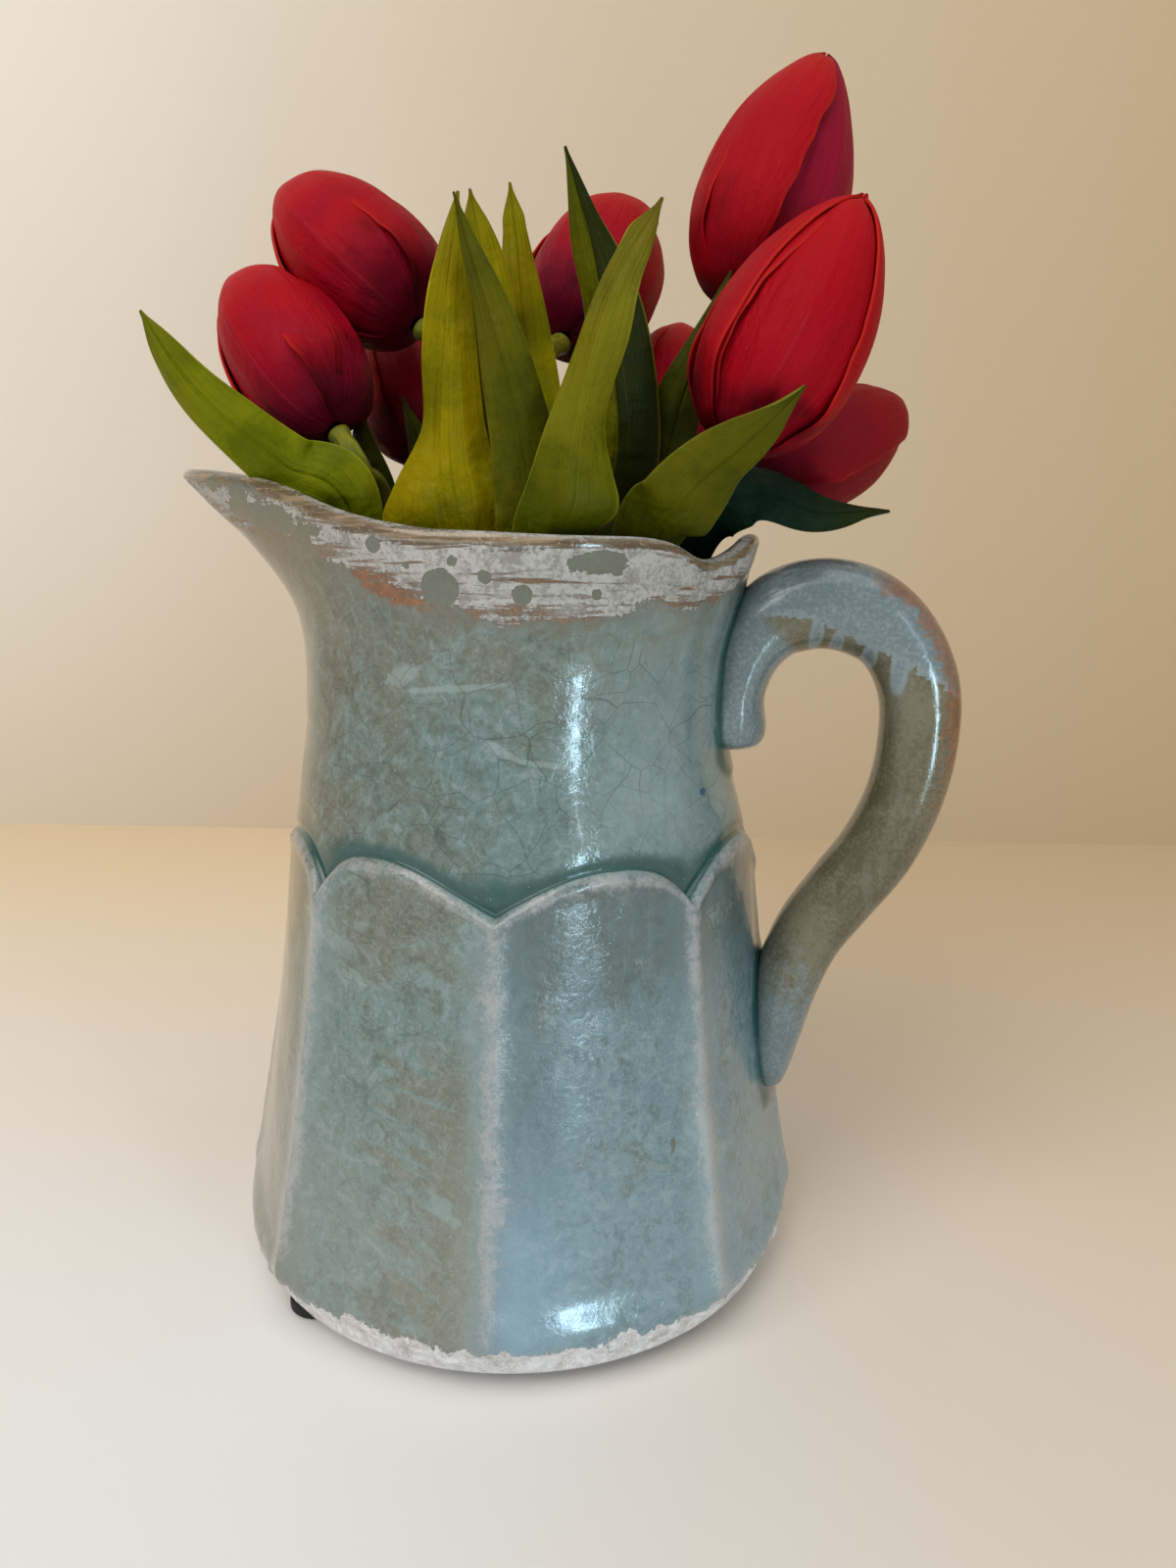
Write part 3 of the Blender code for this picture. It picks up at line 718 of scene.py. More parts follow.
def make_jug_wall():
    """The fired wall of the jug: a sheet wrapped round the axis and closed at the seam and at both ends."""
    steps = np.linspace(-1, 1, COLUMNS // PANELS + 1)[:-1]
    crowded = (steps + 0.55 * np.sin(math.pi * steps) / math.pi + 1) / 2
    turns = np.concatenate([panel + crowded for panel in range(PANELS)])
    angle = RIDGE_ANGLE + turns * 2 * math.pi / PANELS
    angle = np.append(angle, angle[0] + 2 * math.pi)
    rows = jug_rows(angle)
    radius, height, drop, ridge, pool, flank, body = (np.array([row[k] for row in rows]) for k in range(7))
    angle = np.broadcast_to(angle, radius.shape)
    around = round_axis(radius, angle, height).reshape(-1, 3)
    outside = (drop > 0) & (radius > 30)
    uneven = (0.30 * ripple(around, 26, 1) + 0.10 * ripple(around, 7, 2)).reshape(radius.shape)
    lumps = np.maximum(0, ripple(around * (1, 1, 1.6), 5.5, 3, 3)).reshape(radius.shape)
    lumps = 1.6 * lumps * hump(height - 10.5, 3.6)
    radius = radius + outside * (uneven * eased((height - UNDERSIDE_HEIGHT) / 6) + lumps)
    flat_angle, flat_height, flat_radius = angle.ravel(), height.ravel(), radius.ravel()
    near = (np.cos(flat_angle - HANDLE_ANGLE) > 0.8) & (flat_height > 35) & outside.ravel()
    gap = np.full(flat_radius.shape, 99.0)
    gap[near] = handle_section(flat_angle[near], flat_height[near], flat_radius[near])
    flat_radius = flat_radius + 0.9 * hump(np.maximum(gap - 0.4, 0), 1.5) * (gap < 90)
    pool = np.maximum(pool.ravel(), hump(np.maximum(gap - 0.8, 0), 2.4))
    wall = sheet("jug", COLUMNS, len(rows) - 1)
    put_down(wall, round_axis(flat_radius, flat_angle, flat_height))
    zero = np.zeros(len(pool))
    name_values(wall, drop=drop.ravel(), ridge=ridge.ravel(), pool=pool)
    name_values(wall, flank=flank.ravel(), body=body.ravel(), grip=zero - 1, under=zero)
    close_seams(wall, 0.04)
    return wall


def make_handle():
    """The rolled handle: a sheet wrapped round its path and closed at both ends, partly inside the wall."""
    sides, count = 48, 190
    roll = curve_points(HANDLE_ROLL, count)
    ahead = unit(np.gradient(roll[:, :2], axis=0))
    length = np.cumsum(np.r_[0, np.linalg.norm(np.diff(roll[:, :2], axis=0), axis=1)])
    from_end = np.minimum(length, length[-1] - length)
    closing = np.sqrt(1 - (1 - np.clip(from_end / 3.0, 0, 1)) ** 2)
    roll[:, 2:] *= np.maximum(closing, 0.01)[:, None]
    handle = sheet("jug_handle", sides, count - 1)
    turn, row = shares(handle)
    turn = 2 * math.pi * turn
    row = np.rint(row * (count - 1)).astype(int)
    cos, sin = np.cos(turn), np.sin(turn)
    squared = 2 / 2.3
    inward = np.sign(cos) * abs(cos) ** squared * roll[row, 2]
    aside = np.sign(sin) * abs(sin) ** squared * roll[row, 3]
    out = roll[row, 0] + inward * ahead[row, 1]
    height = roll[row, 1] - inward * ahead[row, 0]
    spots = np.stack([out, aside, height], -1)
    aside = aside * (1 + 0.03 * ripple(spots, 22, 5))
    x = out * math.cos(HANDLE_ANGLE) - aside * math.sin(HANDLE_ANGLE)
    y = out * math.sin(HANDLE_ANGLE) + aside * math.cos(HANDLE_ANGLE)
    radius, angle = np.hypot(x, y), np.arctan2(y, x)
    surface = outside_radius(angle, np.minimum(height, 194))
    radius = np.maximum(radius, surface - HANDLE_ROOT_DEPTH)
    put_down(handle, round_axis(radius, angle, height))
    pool = hump(np.maximum(radius - surface - 0.3, 0), 1.6)
    inner = 0.5 + 0.5 * cos
    zero = np.zeros(len(radius))
    name_values(handle, drop=zero + 60, ridge=zero, pool=pool, flank=zero, body=zero)
    name_values(handle, grip=row / (count - 1), under=inner)
    close_seams(handle, 0.02)
    return handle


def jug_readings(f):
    """What the glaze reads: places from the jug's axis, the named values of its points, shared noises."""
    spot = f.shift(f.place(), tuple(-v / MM for v in AXIS))
    at = SimpleNamespace(spot=spot, x=spot.part(0), y=spot.part(1), height=spot.part(2))
    for name in ("drop", "ridge", "pool", "flank", "body", "grip", "under"):
        setattr(at, name, f.attribute(name))
    at.on_handle = at.grip.rise(-0.6, -0.4)
    at.front = at.y.rise(4, -8)
    at.outside = at.drop.rise(-0.5, 0.5) * (1 - at.on_handle)
    at.broad = f.grain(f.shift(spot, (31, 8, 0)), 0.022, 2.0, 0.5)
    at.cloud = f.grain(spot, 0.07, 4.0, 0.55, 0.6)
    at.patch = f.grain(f.shift(spot, (0, 40, 9)), 0.16, 4.0, 0.55, 1.0)
    at.curd = f.grain(f.shift(spot, (60, 0, 5)), 0.27, 3.0, 0.5, 1.5)
    at.mottle = f.grain(f.shift(spot, (7, 0, 70)), 0.42, 4.0, 0.65, 0.5)
    at.fine = f.grain(spot, 1.0, 3.0, 0.7)
    at.speck = f.grain(spot, 2.8, 2.0, 0.6)
    at.run = f.grain(f.stretched(spot, (0.30, 0.30, 0.05)), 1.0, 3.0, 0.6, 0.8)
    at.streak = f.grain(f.place(0.05, 0.05, 0.75), 1.0, 4.0, 0.62, 0.5)
    at.ragged = f.grain(f.place(0.7, 0.7, 1.3), 0.13, 5.0, 0.65)
    lumps = (at.speck * 0.5 + at.mottle * 0.5).rise(0.42, 0.60)
    at.clay = f.mix(lumps, (0.175, 0.066, 0.024), (0.320, 0.130, 0.050))
    return at


def blot(at, across, up, wide, tall, slope=0.0):
    """Distance from a place on the front, where 1 is the edge of an oval that size."""
    aside = (at.x - across) / wide
    above = (at.height - up - (at.x - across) * slope) / tall
    return (aside * aside + above * above) ** 0.5


def clouded_glaze(f, at):
    """Soft clouds of blue green and olive grey under a curdled pale veil, with painted cool light on the
    right: the right front panel bluer and the neck paler towards the right. It returns the slanted noise.
    """
    x, height, front, body, flank = at.x, at.height, at.front, at.body, at.flank
    cloud, patch, curd, mottle, fine = at.cloud, at.patch, at.curd, at.mottle, at.fine
    slant, slope = x * 0.93 - height * 0.37, height * 0.93 + x * 0.37
    slanted = f.node("ShaderNodeCombineXYZ", {}, {0: slant * 0.035, 1: at.y * 0.05, 2: slope * 0.17})
    finger = f.grain(slanted, 1.0, 3.0, 0.5, 0.7)
    fingered = ((x + 25 - finger.swing(90)) * 0.22).within() * x.rise(-6, -9)
    fingered = fingered * height.rise(90, 74) * front
    neck_olive = (1 - body) * (x.rise(30, -50) * 0.40 + height.rise(140, 178) * 0.30)
    olive_zone = body * height.rise(78, 112) * 0.52 + neck_olive
    olive_zone = olive_zone + x.rise(-44, -64) * 0.45 + at.broad.rise(0.50, 0.64) * (1 - front) * 0.30
    clouds = cloud.swing(1.3) + patch.swing(1.1) + curd.swing(0.4)
    olive = (olive_zone + clouds - flank * 0.25).rise(0.02, 0.66)
    olive = olive.at_least(fingered * 0.85 * body)
    # Partly painted cool light: the right front panel, which faces the cool light from the front right, is
    # painted bluer, partly the glaze's own blue.
    blue = body * x.rise(-6, 2) * front * height.rise(118, 88)
    teal = f.mix(blue * 0.6, (0.142, 0.212, 0.202), (0.134, 0.232, 0.296))
    f.colour = f.mix(olive * 0.92, teal, (0.150, 0.148, 0.108))

    f.paint((patch * 0.6 + curd * 0.4).rise(0.49, 0.62) * 0.50, (0.075, 0.104, 0.096))
    f.paint((curd * 0.55 + patch * 0.45).rise(0.50, 0.36) * (0.62 - olive * 0.30), (0.250, 0.315, 0.318))
    veins = abs(curd - 0.5).rise(0.040, 0.0) * patch.rise(0.42, 0.52)
    f.paint(veins * (0.16 + body * 0.20), (0.265, 0.335, 0.338))
    f.paint((fine * 0.6 + mottle * 0.4).rise(0.50, 0.66) * 0.30, (0.31, 0.352, 0.35))
    f.paint((mottle * 0.5 + fine * 0.5).rise(0.49, 0.38) * 0.22, (0.060, 0.082, 0.076))
    f.paint(at.speck.rise(0.45, 0.30) * 0.35, (0.050, 0.070, 0.062))
    pale_side = (flank * 0.9 + curd.swing(1.1) + cloud.swing(0.7)).rise(0.30, 1.0) * body
    f.paint(pale_side * 0.42, (0.250, 0.315, 0.335))
    # Partly painted light: a pale bluish veil on the neck that grows towards the right, part cloudy glaze
    # and part the cool light falling on that side.
    right_lit_haze = (x.rise(2, 42) * 0.5 + cloud.swing(1.2) + curd.swing(0.8)).rise(0.05, 0.75)
    f.paint(right_lit_haze * (1 - body) * height.rise(118, 136) * 0.50, (0.290, 0.370, 0.378))
    return finger


def panel_tints(f, at):
    """Painted shade, a painted reflection and slow changes of tint over the front panels and the neck."""
    x, height = at.x, at.height
    on_panels = at.front * at.body
    strip = x.rise(20, 10) * height.rise(104, 70) * height.rise(30, 56)
    # Painted shade: darkens the top of the right front panel and a strip along its left side.
    shaded = x.rise(-5, 3) * (height.rise(82, 104) * 0.85 + strip * 0.6)
    f.paint(shaded * on_panels * 0.75, (0.082, 0.128, 0.144))
    # Painted reflection: a pale blue patch low on the front, right of the middle, stands for the window's
    # glare.
    glare = x.rise(-7, 0) * x.rise(15, 2) * height.rise(66, 18) * on_panels
    f.paint(glare * 0.50, (0.215, 0.325, 0.410))
    f.paint(x.rise(-47, -57) * 0.50, (0.118, 0.106, 0.052))
    low = height.rise(85, 28) * on_panels
    f.paint(low * x.rise(0, -8) * 0.16, (0.48, 0.43, 0.37))
    neck_side = x.rise(12, 30) * x.rise(48, 38) * height.rise(175, 160) * (1 - at.body) * at.front
    f.paint(low * x.rise(-2, 6) * 0.15 + neck_side * 0.08, (0.38, 0.54, 0.60))
    f.paint(low * x.rise(-2, 4) * x.rise(26, 12) * 0.10, (0.34, 0.60, 0.92))


def strokes_and_runs(f, at, finger):
    """Pale brush strokes on the neck, hooked runs on the panels, and faint runs all over."""
    slanting = f.stretched(at.spot, (0.030, 0.030, 0.26), (0.0, 0.16, 0.0))
    stroke = f.grain(slanting, 1.0, 2.0, 0.5, 0.8).rise(0.66, 0.71)
    stroke = stroke * (1 - at.body) * (1 - at.front)
    hook = (finger + at.curd.swing(0.5)).rise(0.60, 0.66) * at.cloud.rise(0.44, 0.54) * at.body
    ovals = [(blot(at, *oval) + at.mottle.swing(2.2)).rise(1.15, 0.55) for oval in BRUSH_STROKES]
    brushed = reduce(Value.at_least, ovals)
    f.paint(stroke.at_least(hook * 0.7).at_least(brushed * at.front) * 0.50, (0.31, 0.385, 0.38))
    f.paint(at.run.rise(0.56, 0.72) * 0.20, (0.26, 0.35, 0.36))


def crackle(f, at):
    """Fine dark crackle, mostly round the neck."""
    wander = f.node("ShaderNodeTexNoise", {}, {"Vector": at.spot, "Scale": 0.06, "Detail": 1.0}, 1)
    sum_of = {"operation": "MULTIPLY_ADD"}
    bent = f.node("ShaderNodeVectorMath", sum_of, {0: wander, 1: (7, 7, 7), 2: at.spot})
    large = f.cells(bent, 0.095, "DISTANCE_TO_EDGE").rise(0.013, 0.004)
    small = f.cells(f.shift(bent, (50, 0, 20)), 0.15, "DISTANCE_TO_EDGE").rise(0.017, 0.005)
    on_neck = at.height.rise(104, 118) * at.height.rise(180, 166)
    lines = large.at_least(small * at.cloud.rise(0.48, 0.56) * 0.8)
    lines = lines * (on_neck * 0.8 + 0.06) * (1 - at.on_handle) * at.broad.rise(0.25, 0.45)
    f.paint(lines * 0.58, (0.045, 0.068, 0.058))


def ridges_and_joints(f, at):
    """Pale worn ridges, dark glaze pooled in the joints, two marks. It returns how worn, how pooled."""
    grit = at.fine.swing(0.9) + at.speck.swing(0.5)
    worn = (at.ridge * 0.82 + grit + at.patch.swing(1.5) + at.cloud.swing(0.9)).rise(0.26, 1.02)
    f.paint(worn * 0.76, (0.405, 0.400, 0.402))
    pooled = (at.pool + at.cloud.swing(0.6)).rise(0.26, 0.90)
    f.paint(pooled * 0.92, (0.016, 0.078, 0.074))
    bubbles = f.cells(at.spot, 0.8).rise(0.17, 0.10) * pooled * at.patch.rise(0.45, 0.55)
    f.paint(bubbles * 0.6, (0.26, 0.40, 0.38))
    blue_mark = (blot(at, 46, 137, 0.9, 0.9) + at.fine.swing(0.8)).rise(1.1, 0.8) * at.front
    f.paint(blue_mark * 0.8, (0.015, 0.07, 0.16))
    brown_mark = (blot(at, 39.8, 55.4, 0.8, 2.2) + at.mottle.swing(2.2)).rise(1.1, 0.5) * at.front
    f.paint(brown_mark * 0.7, (0.12, 0.085, 0.03))
    return worn, pooled


def handle_glaze(f, at, pooled):
    """Blue grey glaze that runs down in drips over an olive brown roll. It returns how bare the clay is."""
    grip, under, curd, patch, fine = at.grip, at.under, at.curd, at.patch, at.fine
    fall = (at.x - 68).at_least(0.0) * 0.43
    cover = at.height - 179.5 + fall + curd.swing(7) + under.swing(-3.0)
    for drip in HANDLE_DRIPS:
        cover = cover.at_least((1 - blot(at, *drip)) * 3.0)
    roll_end = (grip + curd.swing(0.2)).rise(0.88, 0.76)
    roll_part = cover.rise(0.35, -0.35) * grip.rise(0.20, 0.24) * roll_end * at.on_handle
    drip_edge = cover.rise(-0.6, 0.3) * cover.rise(2.2, 0.6)
    drip_edge = drip_edge * grip.rise(0.20, 0.24) * grip.rise(0.64, 0.60)
    grey = f.mix(fine.rise(0.4, 0.7), (0.140, 0.184, 0.202), (0.232, 0.275, 0.294))
    grey = f.mix(patch.rise(0.45, 0.65) * 0.5, grey, (0.12, 0.175, 0.185))
    f.paint(at.on_handle * (1 - pooled * 0.85) * 0.9, grey)
    blotches = (fine * 0.5 + at.cloud * 0.5).rise(0.38, 0.62)
    roll = f.mix(blotches, (0.092, 0.080, 0.042), (0.165, 0.150, 0.098))
    roll = f.mix(at.run.rise(0.50, 0.7) * 0.35, roll, (0.20, 0.20, 0.16))
    f.paint(roll_part * (1 - pooled), roll)
    f.paint(drip_edge * at.on_handle * 0.35, (0.30, 0.34, 0.35))
    worn_side = patch.swing(0.8) + at.broad.swing(0.3) - under * 1.3 + 0.74 + fine.swing(0.4)
    bare = worn_side.rise(0.42, 0.52) * grip.rise(0.33, 0.37) * grip.rise(0.60, 0.52) * at.on_handle
    f.paint(bare * 0.70, at.clay)
    return bare


def spots_left(f, at):
    """Round spots and islands where the lip kept its glaze: (the spots, the pale edge round them)."""
    round_spots = reduce(Value.at_most, [(blot(at, *spot, spot[2]) - 1) * spot[2] for spot in LIP_SPOTS])
    back_spots = (f.cells(f.shift(at.spot, (3, 0, 0)), 0.10) - 0.17) * 10 + at.front * 9
    island = (blot(at, 20.5, 192.0, 5.6, 2.5, 0.05) - 1) * 2.6 + at.ragged.swing(8)
    island = island.at_most((blot(at, -59, 200.5, 14, 4.6, -0.41) - 1) * 3 + at.ragged.swing(15))
    back_islands = f.grain(f.shift(at.spot, (0, 0, 77)), 0.075, 3.0, 0.5)
    island = island.at_most((back_islands - 0.63) * -20 + at.front * 9)
    gap = (round_spots + at.mottle.swing(1.6)).at_most(back_spots).at_most(island + at.fine.swing(1.2))
    gap = gap + at.speck.swing(0.4)
    spots = gap.rise(0.12, -0.08)
    return spots, gap.rise(0.75, 0.30) * (1 - spots)


def worn_lip(f, at):
    """A chalky band with a ragged lower edge, clay in streaks and round spots left in it. It returns how
    chalky its outside and its inside are, then how much clay shows in streaks and in patches."""
    x, drop, outside, front = at.x, at.drop, at.outside, at.front
    patch, fine, speck, streak, ragged = at.patch, at.fine, at.speck, at.streak, at.ragged
    reach = 8.5 + (((x - 4) / 34) ** 2 * -1).maths("EXPONENT") * 9.5 + x.rise(-46, -70) * 5
    depth = reach + ragged.swing(15) + fine.swing(5.5) + speck.swing(2.0)
    band = (depth - drop).rise(-0.30, 0.30) * outside
    wear = (drop + streak.swing(6.5) + fine.swing(2.0) - x.rise(25, -25) * 1.3).rise(1.5, 2.2)
    clay_streaks = (depth - drop).rise(7.0, 0.0) * (streak + patch.swing(0.4)).rise(0.495, 0.535)
    clay_streaks = clay_streaks.at_least(drop.rise(1.0, 3.5) * (streak + fine.swing(0.15)).rise(0.60, 0.63))
    spots, spot_edge = spots_left(f, at)
    chalk = f.mix((patch * 0.5 + fine * 0.5).rise(0.40, 0.56), (0.270, 0.255, 0.235), (0.47, 0.455, 0.44))
    chalk = f.mix((speck * 0.5 + streak * 0.5).rise(0.54, 0.62) * 0.5, chalk, (0.200, 0.150, 0.115))
    chalk = f.mix((fine * 0.5 + streak * 0.5).rise(0.53, 0.62) * 0.6, chalk, (0.52, 0.505, 0.485))
    chalk = f.mix(spot_edge * 0.45, chalk, (0.52, 0.50, 0.47))
    chalk_left = band * wear * (1 - clay_streaks) * (1 - spots)
    clay_left = (clay_streaks * band * wear) * (1 - spots)

    below = (depth + 7 + ragged.swing(9) - drop).rise(0.0, 5.0) * (1 - band) * outside
    f.paint(below * 0.50, (0.165, 0.150, 0.115))
    clay_patch = (blot(at, -27.5, 187.6, 10.0, 5.0, -0.36) + ragged.swing(2.4)).rise(1.05, 0.85) * front
    right_patch = (blot(at, 46, 188, 10, 1.7, 0.34) + ragged.swing(2.5)).rise(1.05, 0.9) * front
    back_patch = f.grain(f.shift(at.spot, (9, 0, 0)), 0.06, 2.0).rise(0.56, 0.60) * (1 - front)
    clay_patch = clay_patch.at_least(right_patch).at_least(below * back_patch)
    clay_patch = clay_patch * outside * (streak + fine.swing(0.4)).rise(0.36, 0.44)
    f.paint(clay_patch * 0.9, at.clay)
    tan = f.mix(streak.rise(0.40, 0.62), (0.110, 0.075, 0.040), (0.30, 0.215, 0.130))
    tan = f.mix(fine.rise(0.58, 0.66) * 0.5, tan, (0.46, 0.43, 0.38))
    f.paint((1 - wear) * outside * drop.rise(9, 6), tan)
    f.paint(clay_left, f.mix(speck.rise(0.4, 0.65), (0.155, 0.085, 0.045), (0.27, 0.160, 0.095)))
    f.paint(band * spots, f.mix(fine, (0.110, 0.120, 0.092), (0.185, 0.195, 0.160)))
    f.paint(chalk_left, chalk)
    inside_band = (drop * -1).rise(7.0, 5.0) * drop.rise(0.5, -0.5) * (1 - at.on_handle)
    inner_lip = inside_band * (streak + fine.swing(0.5)).rise(0.40, 0.50)
    f.paint(inner_lip, chalk)
    return chalk_left, inner_lip, clay_left, clay_patch


def chalky_foot(f, at):
    """A bare chalky ring with a torn edge and a trace of rust. It returns how much of each point is it."""
    height = at.height
    torn = f.grain(f.place(1.0, 1.0, 0.6), 0.17, 4.0, 0.65)
    gap = 13.6 + torn.swing(13) - height + at.fine.swing(2.6)
    foot = gap.rise(-0.3, 0.5) * at.outside * height.rise(30, 25)
    ring = f.mix(at.mottle.rise(0.3, 0.7), (0.58, 0.56, 0.55), (0.86, 0.85, 0.86))
    stained = (at.speck + (torn - 0.5)).rise(0.55, 0.64) * 0.5 * height.rise(4.4, 6.5)
    ring = f.mix(stained, ring, (0.27, 0.205, 0.165))
    rust = f.grain(f.place(0.10, 0.10, 1.2), 1.0, 2.0).rise(0.66, 0.70)
    rust = rust * height.rise(8.0, 6.0) * height.rise(4.0, 5.0)
    f.paint(foot, f.mix(rust * 0.8, ring, (0.24, 0.085, 0.04)))
    return foot


def celadon_finish():
    """Crackled celadon glaze over red clay, with a chalky worn lip and foot, and pooled in the joints."""
    f = Finish("celadon_glaze", IOR=1.5, Coat_Roughness=0.04, Specular_IOR_Level=0.5)
    at = jug_readings(f)
    finger = clouded_glaze(f, at)
    panel_tints(f, at)
    strokes_and_runs(f, at, finger)
    crackle(f, at)
    worn, pooled = ridges_and_joints(f, at)
    bare = handle_glaze(f, at, pooled)
    chalk_left, inner_lip, clay_left, clay_patch = worn_lip(f, at)
    foot = chalky_foot(f, at)

    chalky = chalk_left.at_least(inner_lip).at_least(foot)
    rough = chalky * 0.46 + clay_left * 0.20 + clay_patch * 0.10 + bare * 0.12
    rough = rough + worn * 0.12 + at.fine * 0.06 + 0.055
    layer = chalky * 0.6 + worn * 0.12 + at.speck * 0.12 * (chalky + 0.1)
    layer = layer + at.fine * 0.10 * (chalky * 2 + 0.3)
    hills = at.mottle * 0.35 + at.cloud * 0.65 + at.fine * 0.12
    normal = f.bump(layer * 0.34 + hills * 0.30, 1.0)
    coat = (1 - chalky).within() * 0.25
    return f.feed(Base_Color=f.colour, Roughness=rough, Normal=normal, Coat_Weight=coat)


# Flowers


def frame_of(direction):
    """A bloom's own axes: aside, towards the front, and along the bloom."""
    along = Vector(direction).normalized()
    front = Vector((0.06, -1, 0.25))
    front = (front - along * front.dot(along)).normalized()
    return np.array([front.cross(along) * -1, front, along])


def bloom_places(tulip, radius, angle, height):
    """Places round a bloom from polar ones: angle 0 faces the front, and height runs along it."""
    base, direction = TULIPS[tulip][:2]
    aside, front, along = frame_of(direction)
    spots = (radius * np.sin(angle))[:, None] * aside + (radius * np.cos(angle))[:, None] * front
    return np.array(base) + spots + height[:, None] * along


bloom_radius = reader(BLOOM_OUTLINE)
round_radius = reader(ROUND_OUTLINE)
petal_width = reader(PETAL_OUTLINE)


def make_petal(tulip, number, petal, outer, chance):
    """One petal: cupped round the bloom, creased along its middle and closing at the tip."""
    usual = (0.02 if outer else 0.0, 0.016, 0.0)
    centre, spread, reach, curl, lean, out = (*petal, *usual[len(petal) - 3 :])
    size = TULIPS[tulip][2] * BLOOM_LENGTH
    blade = sheet(f"{tulip}_{'outer' if outer else 'inner'}_{number}", 28, 48)
    across, along = shares(blade)
    u = across * 2 - 1
    along = 1 - (1 - along) ** 1.3
    blunt = TULIPS[tulip][5]
    outline = petal_width(along) + blunt * 0.30 * hump(along - 0.93, 0.09)
    height = along * reach + 0.012 * hump(u, 0.3) * eased((along - 0.85) / 0.15)
    wobble = 1 + 0.010 * np.sin(along * 40 + chance.random() * 6)
    width = (0.392 if outer else 0.365) * spread * outline * wobble
    radius = bloom_radius(along) * (1 - blunt) + round_radius(along) * blunt
    layer = out + (-0.008 if outer else -0.032)
    radius = radius + layer * eased(along / 0.12) * (1 - 0.75 * eased((along - 0.75) / 0.25))
    radius = np.maximum(radius, 0.008 if outer else 0.005)
    angle = math.radians(centre) + np.clip(width / np.maximum(radius, 0.10), -1.5, 1.5) * u
    radius = radius + lean * u * eased(along / 0.25) * (1 - eased((along - 0.82) / 0.18))
    edge = abs(u) ** 4
    radius = radius + curl * edge * hump(along - 0.22, 0.12) - 0.008 * edge * eased((along - 0.45) / 0.3)
    crease = 0.010 * hump(u - 0.03, 0.035) + 0.010 * hump(u, 0.26)
    crease = crease - 0.006 * hump(u - 0.11, 0.05) - 0.005 * hump(u + 0.10, 0.05)
    crease = crease - 0.005 * hump(u + 0.42 - 0.1 * along, 0.08) - 0.005 * hump(u - 0.5 + 0.1 * along, 0.09)
    radius = radius + crease * np.sin(math.pi * np.clip(along * 1.08, 0, 1)) ** 0.7
    spots = np.stack([u * 14, along * 7, np.full_like(u, number * 9.0)], -1)
    wrinkles = ripple(spots, 8, PETAL_SEED + number + size / 9)
    radius = radius + 0.007 * wrinkles * eased(along / 0.2)
    put_down(blade, bloom_places(tulip, radius * size, angle, height * size + (0.0 if outer else 0.8)))
    apply(blade, "SOLIDIFY", thickness=0.8 * MM, offset=-1.0)
    return blade


def make_whorl(tulip, kind, finish, chance):
    outer = kind == "outer"
    places = TULIPS[tulip][6 if outer else 7]
    petals = [make_petal(tulip, n, petal, outer, chance) for n, petal in enumerate(places)]
    whorl = join(f"{tulip}_{kind}_petals_fine", petals)
    apply(whorl, "SUBSURF", levels=1, render_levels=1)
    done(whorl, finish, f"{tulip}_{kind}_petals")


def stem_route(tulip):
    base, direction, size, mouth, foot = (np.array(v, float) for v in TULIPS[tulip][:5])
    axis = unit(direction)
    foot = np.append(foot, STEM_FOOT_HEIGHT)
    return [foot, (foot + mouth) / 2, mouth, base - axis * 14 * size, base - axis * 0.9]


def make_stem(tulip, finish):
    """A tube along the stem's route, with a little swelling under the bloom."""
    route = curve_points(stem_route(tulip), 70)
    sides = 16
    stem = sheet(f"{tulip}_stem_fine", sides, len(route) - 1)
    across, along = shares(stem)
    row = np.rint(along * (len(route) - 1)).astype(int)
    ahead = unit(np.gradient(route, axis=0))
    aside = unit(np.cross(ahead, (0.0, 1.0, 0.0)))
    other = np.cross(ahead, aside)
    end_row = (row == 0) | (row == len(route) - 1)
    swell = STEM_RADIUS * (1 + 0.16 * eased((along - 0.93) / 0.06)) * np.where(end_row, 0.01, 1.0)
    swell = (swell * (1 + 0.025 * np.sin(along * 60)))[:, None]
    turn = 2 * math.pi * across[:, None]
    put_down(stem, route[row] + swell * (np.cos(turn) * aside[row] + np.sin(turn) * other[row]))
    close_seams(stem, 0.06)
    done(stem, finish, f"{tulip}_stem")


def leaf_midrib(name, count):
    """The midrib, as rows of places: it leaves the stem's side along the stem."""
    tulip, root_height, side, points = LEAVES[name][:4]
    route = curve_points(stem_route(tulip), 400)
    at = int(np.argmin(abs(route[:, 2] - root_height)))
    upward = unit(route[at + 1] - route[at])
    out = np.array([math.cos(math.radians(side)), math.sin(math.radians(side)), 0.0])
    out = unit(out - upward * out.dot(upward))
    root = route[at] + out * (STEM_RADIUS + LEAF_ROOT_GAP)
    return curve_points([root, *points], count)


